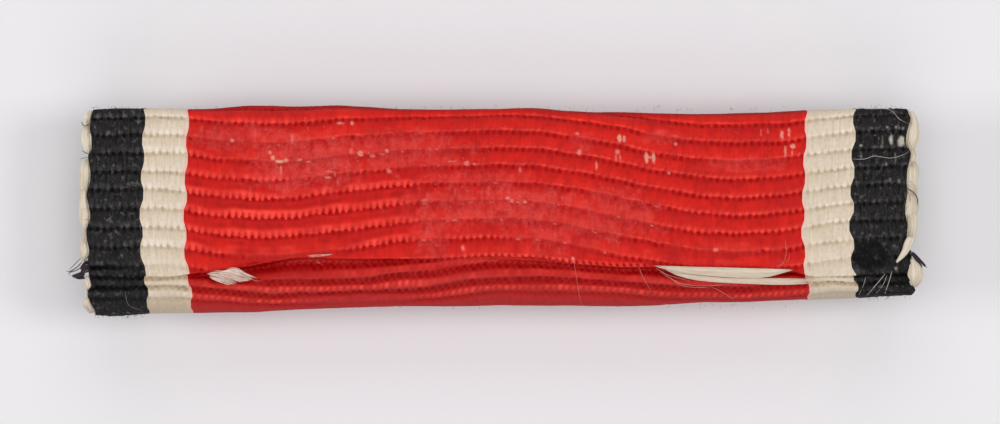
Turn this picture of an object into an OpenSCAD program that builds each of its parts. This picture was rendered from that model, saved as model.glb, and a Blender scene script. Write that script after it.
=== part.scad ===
// A ribbon bar: a ribbed ribbon wound round a metal plate with a brooch pin on its back.
// It lies on the feet of its pin. X runs along the bar, Y across it and Z out of its front.

/* [Ribbon] */
// Length of the bar, which is the whole width of the ribbon
bar_length = 40; // [36:1:44]
// Greatest height of the wound ribbon, across the bar
bar_height = 10.1; // [10.1:0.1:11.5]
// Depth of the wound ribbon, from its back to its front
wound_depth = 3.2; // [3.1:0.1:3.6]
// Thickness of the ribbed cloth
cloth = 1; // [0.9:0.05:1]
// Depth of the crease where the ribs have parted along the lower front
crease_depth = 0.2; // [0:0.05:0.3]
// Space at the back between the two cut ends of the ribbon
back_gap = 3.4; // [3.3:0.1:3.8]

/* [Plate] */
// Height of the plate inside the ribbon
plate_height = 6.4; // [5.6:0.1:6.4]
// How far each end of the plate lies inside the ribbon's edge
plate_inset = 0.6; // [0.4:0.1:1.5]
// Space between the plate and the cloth round it
slip = 0.1; // [0.05:0.05:0.15]

/* [Pin] */
// Height of the ribbon's back above the surface that the pin lies on
stand_off = 2.4; // [2.4:0.1:3]
// Distance from the middle of the hinge block to the middle of the catch
pin_span = 28; // [22:1:30]
// Diameter of the needle
needle_d = 0.9; // [0.7:0.1:1]

/* [Hidden] */

// Colours
RED = [0.74, 0.13, 0.12];
BRASS = [0.72, 0.56, 0.28];

// Outline of the wound ribbon from the front, a row for each place along the bar.
// The columns are the place as a fraction of half the length, how far the top edge dips
// below its highest line, and how high the bottom edge and the crease lie over the lowest line.
STATION = 0;
TOP_DIP = 1;
FOOT_LIFT = 2;
CREASE_RISE = 3;
OUTLINE = [
    [-1.00, 0.25, 0.05, 1.75],
    [-0.90, 0.20, 0.00, 1.75],
    [-0.78, 0.15, 0.15, 1.85],
    [-0.70, 0.15, 0.20, 2.15],
    [-0.60, 0.00, 0.25, 2.35],
    [-0.40, 0.00, 0.40, 2.70],
    [-0.28, 0.20, 0.50, 2.80],
    [0.05, 0.15, 0.50, 2.85],
    [0.22, 0.35, 0.50, 2.65],
    [0.36, 0.40, 0.50, 2.40],
    [0.48, 0.45, 0.65, 2.35],
    [0.65, 0.35, 0.75, 2.25],
    [0.80, 0.20, 0.85, 2.20],
    [1.00, 0.20, 1.00, 2.05],
];

// Radii of the bends in the cloth, measured on its outer face
TOP_BEND = 0.7;
BACK_BEND = 1.2;
SHARPEST_BEND = 0.05;

// How finely the cloth is drawn: cross-sections along the bar and steps in each bend
SECTIONS = 30;
BEND_STEPS = 5;
LOWER_STEPS = 8;

// Half the width of the crease, and how far from the ends it starts and stops, as fractions
CREASE_HALF = 0.25;
CREASE_END = 0.94;

// Smoothing of the outline between its rows, as a fraction of half the length
EASE = 0.04;

// Plate
plate_thickness = wound_depth - 2 * cloth - 2 * slip;
plate_z = stand_off + cloth + slip;
deepest_dip = max([for (row = OUTLINE) row[TOP_DIP]]);
plate_top = bar_height / 2 - deepest_dip - cloth - slip;

// Pin, with its needle lying along the bar
NECK_WIDTH = 2.9;
FOOT_WIDTH = 3.6;
HINGE_LENGTH = 2.2;
CATCH_LENGTH = 2.6;
CATCH_WALL = 0.7;
CATCH_LIP = 0.5;
TIP_LENGTH = 1.6;
TIP_D = 0.2;
BACK_CLEARANCE = 0.2;
WELD = 0.05;
needle_z = CATCH_WALL + needle_d / 2 - WELD;
block_top = stand_off - BACK_CLEARANCE;

// A column of the outline at a fraction u of half the length, eased between its rows
function column(name, u) =
    let (pairs = [for (row = OUTLINE) [row[STATION], row[name]]])
    (lookup(u - EASE, pairs) + 2 * lookup(u, pairs) + lookup(u + EASE, pairs)) / 4;

// Points round a quarter bend from one angle to another, as [y, z]
function bend(centre, reach, from, to, steps) =
    [for (i = [0:steps])
        let (a = from + (to - from) * i / steps)
        centre + [reach[0] * cos(a), reach[1] * sin(a)]];

// The radius of a bend drawn at some depth under the outer face
function inner(radius, depth) = max(radius - depth, SHARPEST_BEND);

// The way of the cloth round the bar at u, as [y, z] points that run from the upper cut end
// over the top, down the front and under the foot to the lower cut end
function winding(u, depth, crease) =
    let (
        top = bar_height / 2 - column(TOP_DIP, u) - depth,
        foot = -bar_height / 2 + column(FOOT_LIFT, u) + depth,
        crease_y = -bar_height / 2 + column(CREASE_RISE, u),
        back = stand_off + depth,
        front = stand_off + wound_depth - depth,
        top_r = inner(TOP_BEND, depth),
        back_r = inner(BACK_BEND, depth),
        lower_y = crease_y - CREASE_HALF,
        lower_reach = max(lower_y - foot, SHARPEST_BEND)
    )
    concat(
        [[back_gap / 2, back]],
        bend([top - back_r, back + back_r], [back_r, back_r], -90, 0, BEND_STEPS),
        bend([top - top_r, front - top_r], [top_r, top_r], 0, 90, BEND_STEPS),
        [[(top + crease_y) / 2, front]],
        [[crease_y + CREASE_HALF, front]],
        [[crease_y, front - crease]],
        bend([foot + lower_reach, back + back_r],
             [lower_reach, front - back - back_r], 90, 180, LOWER_STEPS),
        bend([foot + back_r, back + back_r], [back_r, back_r], 180, 270, BEND_STEPS),
        [[-back_gap / 2, back]]
    );

// The closed edge of the cloth at u: its outer face, then its inner face on the way back
function section(u) =
    let (
        crease = abs(u) < CREASE_END ? crease_depth : 0,
        outer = winding(u, 0, crease),
        inside = winding(u, cloth, 0),
        last = len(inside) - 1
    )
    concat(outer, [for (j = [last:-1:0]) inside[j]]);

// The ribbon, one woven strip wound into a flat sleeve
module ribbon() {
    stations = [for (i = [0:SECTIONS - 1]) -1 + 2 * i / (SECTIONS - 1)];
    rings = [for (u = stations) section(u)];
    ring = len(rings[0]);
    half = ring / 2;
    last = (SECTIONS - 1) * ring;
    points = [for (i = [0:SECTIONS - 1]) for (p = rings[i])
        [stations[i] * bar_length / 2, p[0], p[1]]];
    skin = [for (i = [0:SECTIONS - 2]) for (j = [0:ring - 1])
        let (a = i * ring + j, b = i * ring + (j + 1) % ring)
        [a, a + ring, b + ring, b]];
    near_end = [for (j = [0:half - 2]) [j, j + 1, ring - 2 - j, ring - 1 - j]];
    far_end = [for (face = near_end) [for (k = [3:-1:0]) face[k] + last]];
    color(RED) polyhedron(points, concat(skin, near_end, far_end));
}

// The flat plate that the ribbon is wound round, with half-round long edges
module plate() {
    round_r = plate_thickness / 2;
    length = bar_length - 2 * plate_inset;
    translate([-length / 2, plate_top - plate_height, plate_z + round_r])
        rotate([90, 0, 90])
            linear_extrude(length) {
                translate([round_r, -round_r])
                    square([plate_height - plate_thickness, plate_thickness]);
                translate([round_r, 0])
                    circle(round_r, $fn = 32);
                translate([plate_height - round_r, 0])
                    circle(round_r, $fn = 32);
            }
}

// The block that holds the needle's thick end, with a round back and a flat foot
module hinge_block() {
    translate([-HINGE_LENGTH / 2, -FOOT_WIDTH / 2, 0])
        cube([HINGE_LENGTH, FOOT_WIDTH, block_top / 2]);
    translate([0, FOOT_WIDTH / 2, block_top / 2])
        rotate([90, 0, 0])
            cylinder(h = FOOT_WIDTH, r = HINGE_LENGTH / 2, $fn = 48);
    translate([-HINGE_LENGTH / 2, -NECK_WIDTH / 2, block_top / 2])
        cube([HINGE_LENGTH, NECK_WIDTH, plate_z + WELD - block_top / 2]);
}

// The hook that the needle's point lies in, open on one side
module catch_hook() {
    rotate([90, 0, 90])
        linear_extrude(CATCH_LENGTH, center = true) {
            translate([-FOOT_WIDTH / 2, 0])
                square([FOOT_WIDTH, CATCH_WALL]);
            translate([-FOOT_WIDTH / 2, 0])
                square([CATCH_WALL, block_top]);
            translate([FOOT_WIDTH / 2 - CATCH_LIP, 0])
                square([CATCH_LIP, needle_z]);
            translate([-NECK_WIDTH / 2, block_top - CATCH_WALL / 2])
                square([NECK_WIDTH, plate_z + WELD - block_top + CATCH_WALL / 2]);
        }
}

// The needle, from the hinge block through the catch to its point
module needle() {
    shaft = pin_span + CATCH_LENGTH / 2;
    translate([pin_span / 2, 0, needle_z])
        rotate([0, -90, 0]) {
            cylinder(h = shaft, d = needle_d, $fn = 32);
            translate([0, 0, shaft])
                cylinder(h = TIP_LENGTH, d1 = needle_d, d2 = TIP_D, $fn = 32);
        }
}

// The metal inside and behind the ribbon, soldered into one piece
module pin_bar() {
    color(BRASS)
        union() {
            plate();
            translate([pin_span / 2, 0, 0])
                hinge_block();
            translate([-pin_span / 2, 0, 0])
                catch_hook();
            needle();
        }
}

ribbon();
pin_bar();
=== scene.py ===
from collections import namedtuple
from types import SimpleNamespace

import bpy
import numpy as np
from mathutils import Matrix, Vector


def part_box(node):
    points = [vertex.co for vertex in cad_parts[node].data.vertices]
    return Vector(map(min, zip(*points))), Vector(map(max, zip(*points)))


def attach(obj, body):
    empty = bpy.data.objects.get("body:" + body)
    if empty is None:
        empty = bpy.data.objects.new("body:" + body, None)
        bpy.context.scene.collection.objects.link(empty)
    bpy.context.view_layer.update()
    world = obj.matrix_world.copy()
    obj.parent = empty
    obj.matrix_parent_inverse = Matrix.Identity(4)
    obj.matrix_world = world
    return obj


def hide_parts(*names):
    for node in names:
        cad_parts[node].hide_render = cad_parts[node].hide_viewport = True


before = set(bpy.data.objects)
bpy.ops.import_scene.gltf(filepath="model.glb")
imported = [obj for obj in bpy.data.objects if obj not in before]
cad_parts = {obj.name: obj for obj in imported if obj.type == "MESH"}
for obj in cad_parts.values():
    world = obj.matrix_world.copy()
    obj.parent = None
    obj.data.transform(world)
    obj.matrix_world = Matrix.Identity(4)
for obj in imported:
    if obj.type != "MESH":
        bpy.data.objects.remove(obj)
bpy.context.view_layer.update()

# Scale. Shapes are worked out in millimetres, and measures of the photograph are in its pixels.
MM = 0.001
PX_PER_MM = 21.0
MIDDLE_PX = (499.5, 211.0)
PHOTO_SIZE = (1000, 424)

# The ribbon's place in depth, from the frame
ribbon_low, ribbon_high = [np.array(corner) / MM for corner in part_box("ribbon")]
BACK = ribbon_low[2]
FRONT = ribbon_high[2]

# Cloth: its flat width lies along the bar, and its flat length, through the middle of its
# thickness, goes round the bar
WALL = 0.9
BACK_GAP = 3.4
TOP_BEND = 0.7
BACK_BEND = 1.2
LEAST_BEND = 0.05
LIP_REACH = 0.1

# Weave: the rib's pitch is the spacing of the weft cords, and a float is one warp end's run over a
# cord, with its tip pointing down to the next rib. Where the crest lies and how far the tips reach
# are shares of a rib.
RIB_PX = 18.1
FLOAT_WIDTH = 0.32
FLOAT_HALF_PX = 3.4
COLUMNS_PER_FLOAT = 6
RIB_DEPTH = 0.12
CREST_AT = 0.62
HEAD_POWER = 1.4
TIP_POWER = 2.2
TIP_ROUNDING = 0.05
POCKET_DEPTH = 0.05
TEETH = 0.07
TOOTH_POWER = 1.2
TOOTH_UNEVEN = 0.55
TOOTH_LEAN = 0.16


def table(columns, *rows):
    """The rows of a table, whose columns have these names."""
    row_kind = namedtuple("Row", columns)
    return [row_kind(*row) for row in rows]


def by_name(rows):
    """The rows of a table, each found by its name."""
    return {row.name: row for row in rows}


# How each stripe's yarn takes the weave: the reach of its floats' tips, the depth of its ribs, how
# lively its tips are at least, with their painted highlight, how fuzzy it is, how dark the painted
# shade under the tips is and how wide the painted dark pockets between the heads are
YARNS = by_name(table(
    "name teeth depth lively fuzz under dot",
    ("red", 1, 1, 0, 0, 0.55, 1),
    ("cream", 0.9, 0.55, 0.4, 0, 0.9, 0.85),
    ("black", 0.8, 1.2, 0.45, 1, 0.3, 1),
))

# Soft unevenness of the cloth: the size of its patches in pixels, how much it makes, and its seed
CLOUDS = by_name(table(
    "name size much seed",
    ("rib_sway", 27, 0.04, 31),
    ("rib_jitter", 9, 0.03, 32),
    ("float_sway", 15, 0.035, 33),
    ("rubbed_edge", 13, 0.35, 5),
    ("rubbed_speck", 5, 0.25, 6),
    ("dusty_edge", 11, 0.3, 7),
    ("dusty_speck", 4, 0.3, 8),
    ("lively_edge", 17, 0.2, 9),
    ("lively_drift", 24, 0.4, 10),
    ("eave_drift", 12, 0.5, 34),
    ("tip_drift", 30, 0.3, 16),
    ("bead_drift", 13, 0.3, 17),
    ("rubbed_shine", 12, 0.7, 18),
    ("shade_edge", 5, 0.2, 71),
    ("bare_edge", 2.6, 0.25, 72),
    ("swell", 60, 0.02, 12),
    ("ripple", 16, 0.01, 13),
    ("fuzz", 3.1, 0.02, 14),
    ("nap", 1.7, 0.018, 15),
))
LATTICE = 128

# The seeds of what is drawn for each float by itself
LOTS = {"reach": 41, "lean": 42, "swing": 61, "tone": 21, "tip": 22, "fleck": 51, "streak": 52,
        "fleck_down": 53, "fleck_pale": 54, "fleck_wide": 55}
LOT_RIBS = 61
LOT_FLOATS = 257

# Edges of the wound ribbon in the photograph, by pixel column: its top and foot, and the lip along
# which the ribs have parted, with the depth of the groove under the lip in mm and its width in pixels
EDGES = table(
    "x top foot lip depth width",
    (79, 110, 315, 268, 0.15, 6), (92, 109, 316, 266, 0.2, 7), (110, 108, 317, 266, 0.2, 7),
    (140, 108, 314.5, 277, 0.06, 5), (170, 108, 314, 277.5, 0.06, 5),
    (190, 109, 313.5, 274, 0.25, 7), (215, 108, 313, 270.5, 0.42, 12),
    (245, 105, 313, 267.5, 0.42, 12), (265, 105.5, 312, 263.5, 0.38, 10),
    (290, 106.5, 311, 258.5, 0.31, 10), (315, 106, 310, 257, 0.26, 10),
    (335, 105, 309, 258.5, 0.2, 9), (365, 106.5, 308, 259, 0.17, 9),
    (395, 108.5, 307, 259, 0.15, 8), (430, 109, 307, 259, 0.13, 9), (460, 109, 307, 258, 0.14, 10),
    (500, 108.5, 306, 257.5, 0.22, 12), (530, 107.5, 306, 259, 0.17, 11),
    (560, 110.5, 306, 262.5, 0.16, 11), (590, 112, 307, 265, 0.16, 11),
    (620, 112, 307, 267.5, 0.2, 10), (650, 113, 306, 267, 0.34, 9), (695, 114, 303, 267, 0.46, 13),
    (740, 113, 303, 268, 0.5, 15), (770, 112, 301, 269, 0.5, 15),
    (796, 110.5, 300.5, 271.5, 0.48, 13), (808, 109.5, 300, 277.5, 0.14, 6),
    (830, 109.5, 299, 277, 0.08, 6), (855, 108.5, 298, 276, 0.1, 6), (880, 109, 297, 275, 0.2, 8),
    (905, 108.5, 296, 272, 0.15, 6), (919, 110, 295, 272, 0.15, 6),
)

# Rows of the valleys between the ribs above the lip: the first, the fifth and the eighth of them
VALLEYS = table(
    "x first fifth eighth",
    (79, 116.5, 189.5, 247), (120, 115.7, 188.5, 247), (160, 115, 189, 245), (180, 116, 190, 247),
    (200, 119, 194, 251), (220, 122, 196, 253.5), (250, 123.5, 199, 256), (280, 123.5, 199, 255.5),
    (300, 122.5, 198, 254), (340, 118.5, 192, 250), (360, 118, 190, 247.5), (400, 116, 185, 241.5),
    (440, 115, 182.5, 239), (500, 113, 181.5, 237), (540, 115, 183, 238.5), (580, 120, 189, 246),
    (620, 127.5, 198, 254.5), (660, 136.5, 206, 262), (700, 141.5, 213, 268),
    (740, 143, 215.5, 270.5), (780, 141, 213, 269), (820, 135.5, 206.5, 261.5),
    (860, 131, 202, 256.5), (919, 129, 201, 255),
)

# Rows of the dark valleys and the bright crests of the ribs that show below the lip
FOLDS = table(
    "x valley_9 crest_9 valley_10 crest_10 valley_11 crest_11 valley_12",
    (79, 267, 272.5, 277.5, 282.5, 290, 295, 301), (135, 267, 272.5, 278, 283, 288.5, 294, 300.5),
    (165, 262, 271, 279, 283, 287.5, 294, 301), (182, 261, 268, 275.5, 283, 289.5, 295, 301.5),
    (195, 260, 268, 275, 283, 291, 298, 303), (215, 262, 270, 279, 285.5, 291.5, 298, 303),
    (240, 266, 275, 282.5, 288, 296.5, 301, 305.5), (265, 267, 277, 283, 290, 298, 302.5, 306),
    (290, 266.5, 276, 283, 289.5, 297, 302, 306), (315, 266, 276.5, 284, 289, 296, 301, 304.5),
    (340, 264.5, 274, 283, 288, 295, 300, 303.5), (370, 264, 272, 282, 287, 293.5, 298.5, 302.5),
    (400, 261.5, 268.5, 276, 283, 293, 297.5, 301.5),
    (430, 259, 265.5, 275, 282, 290.5, 295.5, 300), (460, 256, 261.5, 268.5, 276, 284, 290.5, 297),
    (500, 252, 257, 264.5, 272.5, 281.5, 287.5, 293),
    (540, 251, 257, 265, 272, 280.5, 286.5, 293.5), (580, 254, 260.5, 268, 275.5, 282.5, 288, 295),
    (620, 257, 263, 271, 277.5, 284.5, 290, 296), (660, 260, 265, 273.5, 281, 289, 294, 300),
    (700, 264, 269, 277, 283.5, 289, 295, 300), (740, 266, 271, 278, 284, 290, 297, 300.5),
    (780, 264, 270, 275.5, 281, 287, 293.5, 299), (800, 263, 269, 275.5, 281, 285.5, 292, 296.5),
    (830, 266, 271, 276, 279, 283.5, 287.5, 293), (855, 266, 271, 276, 280, 285, 289, 293.5),
    (919, 264, 270, 275, 279, 284, 288, 293),
)

# How far the cloth lies to the right of straight warp, at heights down the front
LEANS = table(
    "y shift",
    (90, 2), (120, 1.5), (150, 0.5), (190, -1), (230, -2), (255, -1), (272, 1), (290, 4), (310, 5),
    (360, 3),
)

# The cloth's two ends in the photograph, where the black stripes' outermost threads loop back
SIDES = table(
    "row left right",
    (105, 94, 905), (108, 93, 907), (112, 92, 909), (118, 90.5, 911), (123, 90, 909),
    (129, 90, 906.5), (135, 92.5, 904.5), (143, 92.5, 904), (147, 92, 907), (151, 91, 911),
    (155, 87.5, 911), (161, 88.5, 909.5), (167, 90.5, 906.5), (173, 91.5, 906), (180, 90.5, 905.5),
    (186, 88.5, 906), (191, 87, 907.5), (197, 86.5, 906.5), (204, 88.5, 904), (212, 90.5, 903.5),
    (219, 90, 904.5), (223, 89, 908), (229, 86, 907.5), (237, 86.5, 905.5), (243, 87.5, 905.5),
    (249, 89.5, 910.5), (255, 89, 912), (262, 87, 911.5), (270, 88, 910), (276, 89, 910),
    (283, 91, 911), (287, 91.5, 914), (290, 88.5, 917), (293, 87, 915.5), (297, 87, 911),
    (302, 89, 908), (308, 92.5, 908), (313, 94.5, 908), (317, 93, 908),
)

# The borders of the stripes along the bar. An inner one swings right on the odd ribs and left on
# the even ones by so many pixels, and an outer one follows its end of the cloth. Each stripe lies
# between two borders.
BORDERS = table(
    "x swing end",
    (91, 0, "left"), (142.8, 1.4, ""), (186.6, 1.3, ""),
    (804.6, 1.3, ""), (853.2, 1.9, ""), (907.8, 0, "right"),
)
STRIPES = table(
    "name finish",
    ("black_left", "black"), ("cream_left", "cream"), ("red_field", "red"),
    ("cream_right", "cream"), ("black_right", "black"),
)

# Places where the tips of the floats stand out bright, with a painted highlight
LIVELY = table(
    "x y half_x half_y much",
    (262, 208, 100, 58, 1), (200, 205, 34, 62, 1), (376, 208, 52, 46, 0.9), (390, 180, 34, 16, 1),
    (470, 232, 44, 13, 1), (398, 237, 34, 10, 0.9), (742, 214, 80, 50, 0.7),
    (262, 120, 110, 9, 0.45), (150, 190, 44, 100, 0.8), (828, 200, 40, 90, 0.9),
    (560, 257, 130, 6, 0.4),
)

# Places where the ribs are rubbed flat, with how far and how dusty they are
RUBBED = table(
    "x y half_x half_y flat dusty",
    (252, 138, 78, 13, 0.85, 0.8), (306, 160, 62, 32, 0.9, 1), (405, 150, 64, 20, 0.75, 0.7),
    (500, 206, 84, 24, 0.85, 0.9), (433, 232, 18, 24, 0.85, 0.8), (548, 236, 36, 16, 0.6, 0.6),
    (604, 216, 60, 28, 0.65, 0.7), (745, 164, 44, 8, 0.85, 0.7), (658, 137, 24, 7, 0.85, 0.6),
    (582, 142, 12, 9, 0.6, 0.6), (470, 178, 60, 8, 0.4, 0.5), (292, 252, 62, 9, 0.95, 0),
    (292, 243, 40, 6, 0.3, 0), (560, 250, 90, 8, 0.6, 0.1), (720, 252, 60, 12, 0.75, 0.1),
    (164, 266, 22, 12, 0.9, 0), (828, 266, 22, 10, 0.7, 0), (872, 256, 26, 20, 1, 0),
)

# Deep shade: where the cloth gapes beside the bared weft, and where the black is worn smooth
GLOOMS = table(
    "x y half_x half_y much",
    (258, 268.5, 24, 8, 1), (300, 264.5, 44, 6, 0.75), (197, 277, 11, 3.5, 1),
    (212, 281.5, 4, 4, 0.8), (252, 283, 10, 2.5, 0.8), (786, 276, 17, 4, 1), (684, 278, 26, 3, 0.6),
    (652, 272, 16, 4, 0.7), (872, 257, 22, 17, 0.8), (903, 279, 10, 12, 0.7),
    (111, 267.5, 22, 3.5, 0.8),
)

# Places where the cords under the floats show, or lint has caught, and how yellow they are
BARE = table(
    "x y half_x half_y much yellow",
    (270, 152.5, 1.5, 2, 0.6, 0.4), (273, 158, 2, 2.5, 0.8, 0.6), (279, 161.5, 4.5, 1.8, 0.9, 0.9),
    (286, 160, 2, 2, 0.7, 0.5), (232, 140.5, 2, 2, 0.6, 0.3), (300, 160, 2.5, 1.3, 0.5, 0.2),
    (340, 123, 4.5, 1.4, 0.7, 0.1), (352, 123, 1.8, 2, 0.7, 0.1), (330, 171.5, 5, 1, 0.4, 0.3),
    (328, 177.5, 3.5, 1.2, 0.5, 0.2), (335, 174.5, 1.2, 2.5, 0.3, 0.3), (333, 138, 2, 1.2, 0.5, 0),
    (281, 171, 1.2, 5, 0.4, 0), (292, 139, 1.2, 5, 0.35, 0), (360.5, 153.5, 3, 3, 0.8, 0.4),
    (351, 151, 1.8, 3, 0.4, 0.1), (372, 156, 3, 2, 0.4, 0), (387, 151, 2, 2, 0.6, 0.1),
    (389, 171, 2.5, 2.5, 0.5, 0.2), (452, 161.5, 6, 0.9, 0.3, 0.1),
    (466.5, 163.5, 3.2, 2.6, 0.6, 0.1), (474, 164, 1.5, 1.5, 0.5, 0),
    (577, 133.5, 2, 1.5, 0.6, 0.1), (579, 152.5, 2.2, 3, 0.75, 0.2),
    (619.5, 138.5, 2.2, 3.8, 0.85, 0.8), (624, 139, 1.6, 3.2, 0.7, 0.5),
    (617.5, 152, 3, 2.6, 0.5, 0.7), (616, 158, 1, 4, 0.4, 0.2), (620, 158, 1, 3.5, 0.4, 0.2),
    (596.5, 165.5, 1.3, 5, 0.6, 0.3), (646.5, 158, 1.9, 6, 0.9, 0.6),
    (653.5, 158, 1.9, 6, 0.9, 0.6), (650, 157.5, 2.5, 1.6, 0.6, 0.7), (520, 170, 1.4, 3, 0.5, 0),
    (676, 144, 1.7, 2, 0.7, 0.1), (669, 173, 1.6, 1.8, 0.6, 0), (782, 135, 1.7, 4.2, 0.85, 0.1),
    (789, 132, 1.2, 5.5, 0.7, 0.4), (792.7, 146.5, 2.8, 2.6, 0.9, 0.3),
    (792.2, 152.5, 1, 3, 0.6, 0.3), (785.3, 151, 1.1, 5.5, 0.6, 0.2), (761, 133, 1, 4, 0.35, 0.1),
    (768, 131, 0.9, 3, 0.3, 0.1), (716, 250, 2.4, 2, 0.65, 0), (508, 198, 2.2, 1.8, 0.6, 0),
    (512, 200.5, 1.8, 1.6, 0.5, 0), (525, 202, 1.5, 1.8, 0.6, 0), (463, 248, 1.8, 3, 0.5, 0.1),
    (573, 258.5, 1.3, 1.8, 0.8, 0), (605, 252.5, 1.5, 1.3, 0.5, 0), (318, 263, 1.8, 1.5, 0.4, 0),
    (425, 200.5, 3, 1.8, 0.4, 0), (891, 140, 1.7, 6.5, 0.85, 0.2), (901.3, 141.6, 3.8, 4.8, 1, 0.4),
    (882.5, 140, 1, 6.5, 0.25, 0.2), (887, 127, 1.2, 1.5, 0.5, 0.1), (896, 127, 1.2, 1.5, 0.5, 0.1),
    (903, 128.5, 1.2, 1.5, 0.4, 0.1), (872, 128, 1.2, 1.2, 0.4, 0.1), (882, 147, 1.7, 2, 0.5, 0.4),
    (861, 145.6, 1.5, 1.5, 0.6, 0.6), (861, 156.5, 1.2, 2, 0.5, 0.1), (886, 164, 1.3, 2, 0.5, 0.1),
    (895.5, 158, 0.9, 6, 0.3, 0.1), (890, 180, 1.3, 2.2, 0.3, 0), (899, 181, 1.5, 2.5, 0.35, 0),
    (896, 268.6, 1.5, 2, 0.45, 0.8),
)

# Loose fibres and threads. Points are pixels of the photograph, and heights are in mm over the
# cloth. A bunch of strands lies between two lines, spread from the one to the other. It says how
# many there are, how much of the space between the lines they cover, how ragged their ends are, how
# high they lie, how far they arch up, and how much browner at each end and how pink they are.
BUNCH = "strands cover ragged lift puff head_stain foot_stain pink one other"
RIGHT_FRAY = table(
    BUNCH,
    (28, 0.9, 0.07, 0.02, 0.14, 0.1, 0, 0.1,
     ((655, 265.5), (690, 267), (720, 267.5), (760, 268.5), (793, 269.5)),
     ((655, 266.5), (677, 272), (700, 275), (730, 277.5), (763, 278), (778, 274.4), (793, 270.3))),
    (20, 0.9, 0.07, 0.04, 0.1, 0.15, 0, 0.2,
     ((665, 268.5), (677, 272.5), (700, 275.5), (730, 278), (763, 278.3), (800, 278.6), (816, 279.5)),
     ((665, 269.5), (677, 275.5), (694, 279.8), (718, 282.4), (755, 284), (783, 284.8), (814, 283.6))),
)
LEFT_FRAY = table(
    BUNCH,
    (26, 0.42, 0.22, 0.05, 0.12, 0.1, 0.3, 0.4, ((206, 272.5), (220, 271), (234, 275), (242, 281)),
     ((207, 273.5), (212, 279), (222, 283), (234, 286))),
    (26, 0.42, 0.22, 0.08, 0.12, 0, 0.3, 0.4, ((222, 270.3), (236, 267.8), (246, 273), (257, 278)),
     ((212, 273.5), (226, 276), (240, 281.5), (250, 281))),
    (3, 0.36, 0.14, 0.02, 0.03, 0.2, 0.2, 1.3, ((304, 256.2), (320, 254.6), (334, 253.8)),
     ((308, 257.2), (322, 256.2), (333, 254.6))),
)
LEFT_LOOPS = table(
    BUNCH,
    (10, 1.1, 0.05, -0.5, 0.24, 0, 0.6, 0, ((92, 110), (91.5, 118), (91, 129)),
     ((87, 110.5), (83, 118), (83.5, 129))),
    (12, 1.1, 0.05, -0.5, 0.26, 0.1, 0, 0, ((91, 126), (93, 136), (93, 144), (92, 155)),
     ((84, 126), (81, 133), (81.5, 144), (87, 155))),
    (12, 1.1, 0.05, -0.5, 0.26, 0.1, 0.1, 0, ((90, 158), (92, 170), (92, 180), (89, 194)),
     ((86, 158), (80.5, 166), (79.5, 180), (80.5, 194))),
    (10, 1.1, 0.05, -0.46, 0.22, 0.3, 0.1, 0, ((89, 188), (89, 198), (91, 211)),
     ((80.5, 188), (79.3, 199), (79.5, 211))),
    (12, 1.1, 0.05, -0.5, 0.26, 0.1, 0.1, 0, ((91, 205), (92, 213), (92, 221), (89, 231)),
     ((80, 205), (79, 213), (80, 222), (84, 231))),
    (8, 1.1, 0.05, -0.46, 0.2, 0.4, 0.4, 0, ((89, 228), (88, 234), (88, 244)),
     ((84.5, 228), (82, 235), (81.5, 244))),
    (12, 1.1, 0.05, -0.5, 0.26, 0.1, 0.1, 0, ((88, 240), (90, 247), (91, 252), (84, 262)),
     ((81.5, 240), (79.5, 246), (80, 254), (82, 262))),
    (9, 1.1, 0.05, -0.3, 0.22, 0.1, 0.1, 0.1, ((89, 275), (92, 283), (92, 290)),
     ((86, 276), (84.5, 282), (87, 290))),
    (9, 1.1, 0.05, -0.46, 0.22, 0.2, 0.6, 0.1, ((89, 297), (91, 304), (94, 313)),
     ((86, 297.5), (82.5, 304), (88, 314))),
)
RIGHT_LOOPS = table(
    BUNCH,
    (12, 1.1, 0.05, -0.5, 0.26, 0, 0.2, 0, ((908, 110), (908, 122), (904, 134), (903, 149)),
     ((913, 110.5), (918, 121), (919, 136), (914, 152))),
    (8, 1.1, 0.05, -0.48, 0.2, 0.3, 0.2, 0, ((908, 148), (908, 155), (907, 163)),
     ((914, 148), (916.5, 155), (916, 163))),
    (12, 1.1, 0.05, -0.5, 0.26, 0.6, 0, 0, ((906, 159), (904, 168), (904, 178), (905, 188)),
     ((914, 158), (918.5, 168), (918.5, 178), (915, 188))),
    (8, 1.1, 0.05, -0.48, 0.2, 0.2, 0.6, 0, ((906, 183), (906, 189), (906, 196)),
     ((915, 183), (917.5, 189), (917, 196))),
    (12, 1.1, 0.05, -0.5, 0.26, 0.3, 0, 0,
     ((905, 191), (902, 203), (901.5, 212), (903, 219.5)),
     ((914, 190), (918, 200), (917.5, 211), (912, 219.5))),
    (12, 1.1, 0.05, -0.5, 0.26, 0.3, 0.2, 0,
     ((907, 214), (907, 224), (906, 234), (905, 242)),
     ((916.5, 212), (918, 222), (917, 233), (913, 243))),
    (10, 1.1, 0.05, 0, 0.14, 0, 0, 0.05,
     ((908, 236), (904.5, 243), (902, 251), (895.5, 262)),
     ((915, 236), (911, 247), (905, 256), (896.5, 263.5))),
    (14, 1.1, 0.04, -0.2, 0.28, 0.1, 0.3, 0.03,
     ((911.5, 256), (909, 265), (908.5, 275), (912, 288)),
     ((916, 259), (922.5, 269), (922.5, 279), (917, 288))),
)

# The rows between which the photograph shows these looped ends
LOOPS_FROM = 112
LOOPS_TO = 313

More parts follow.
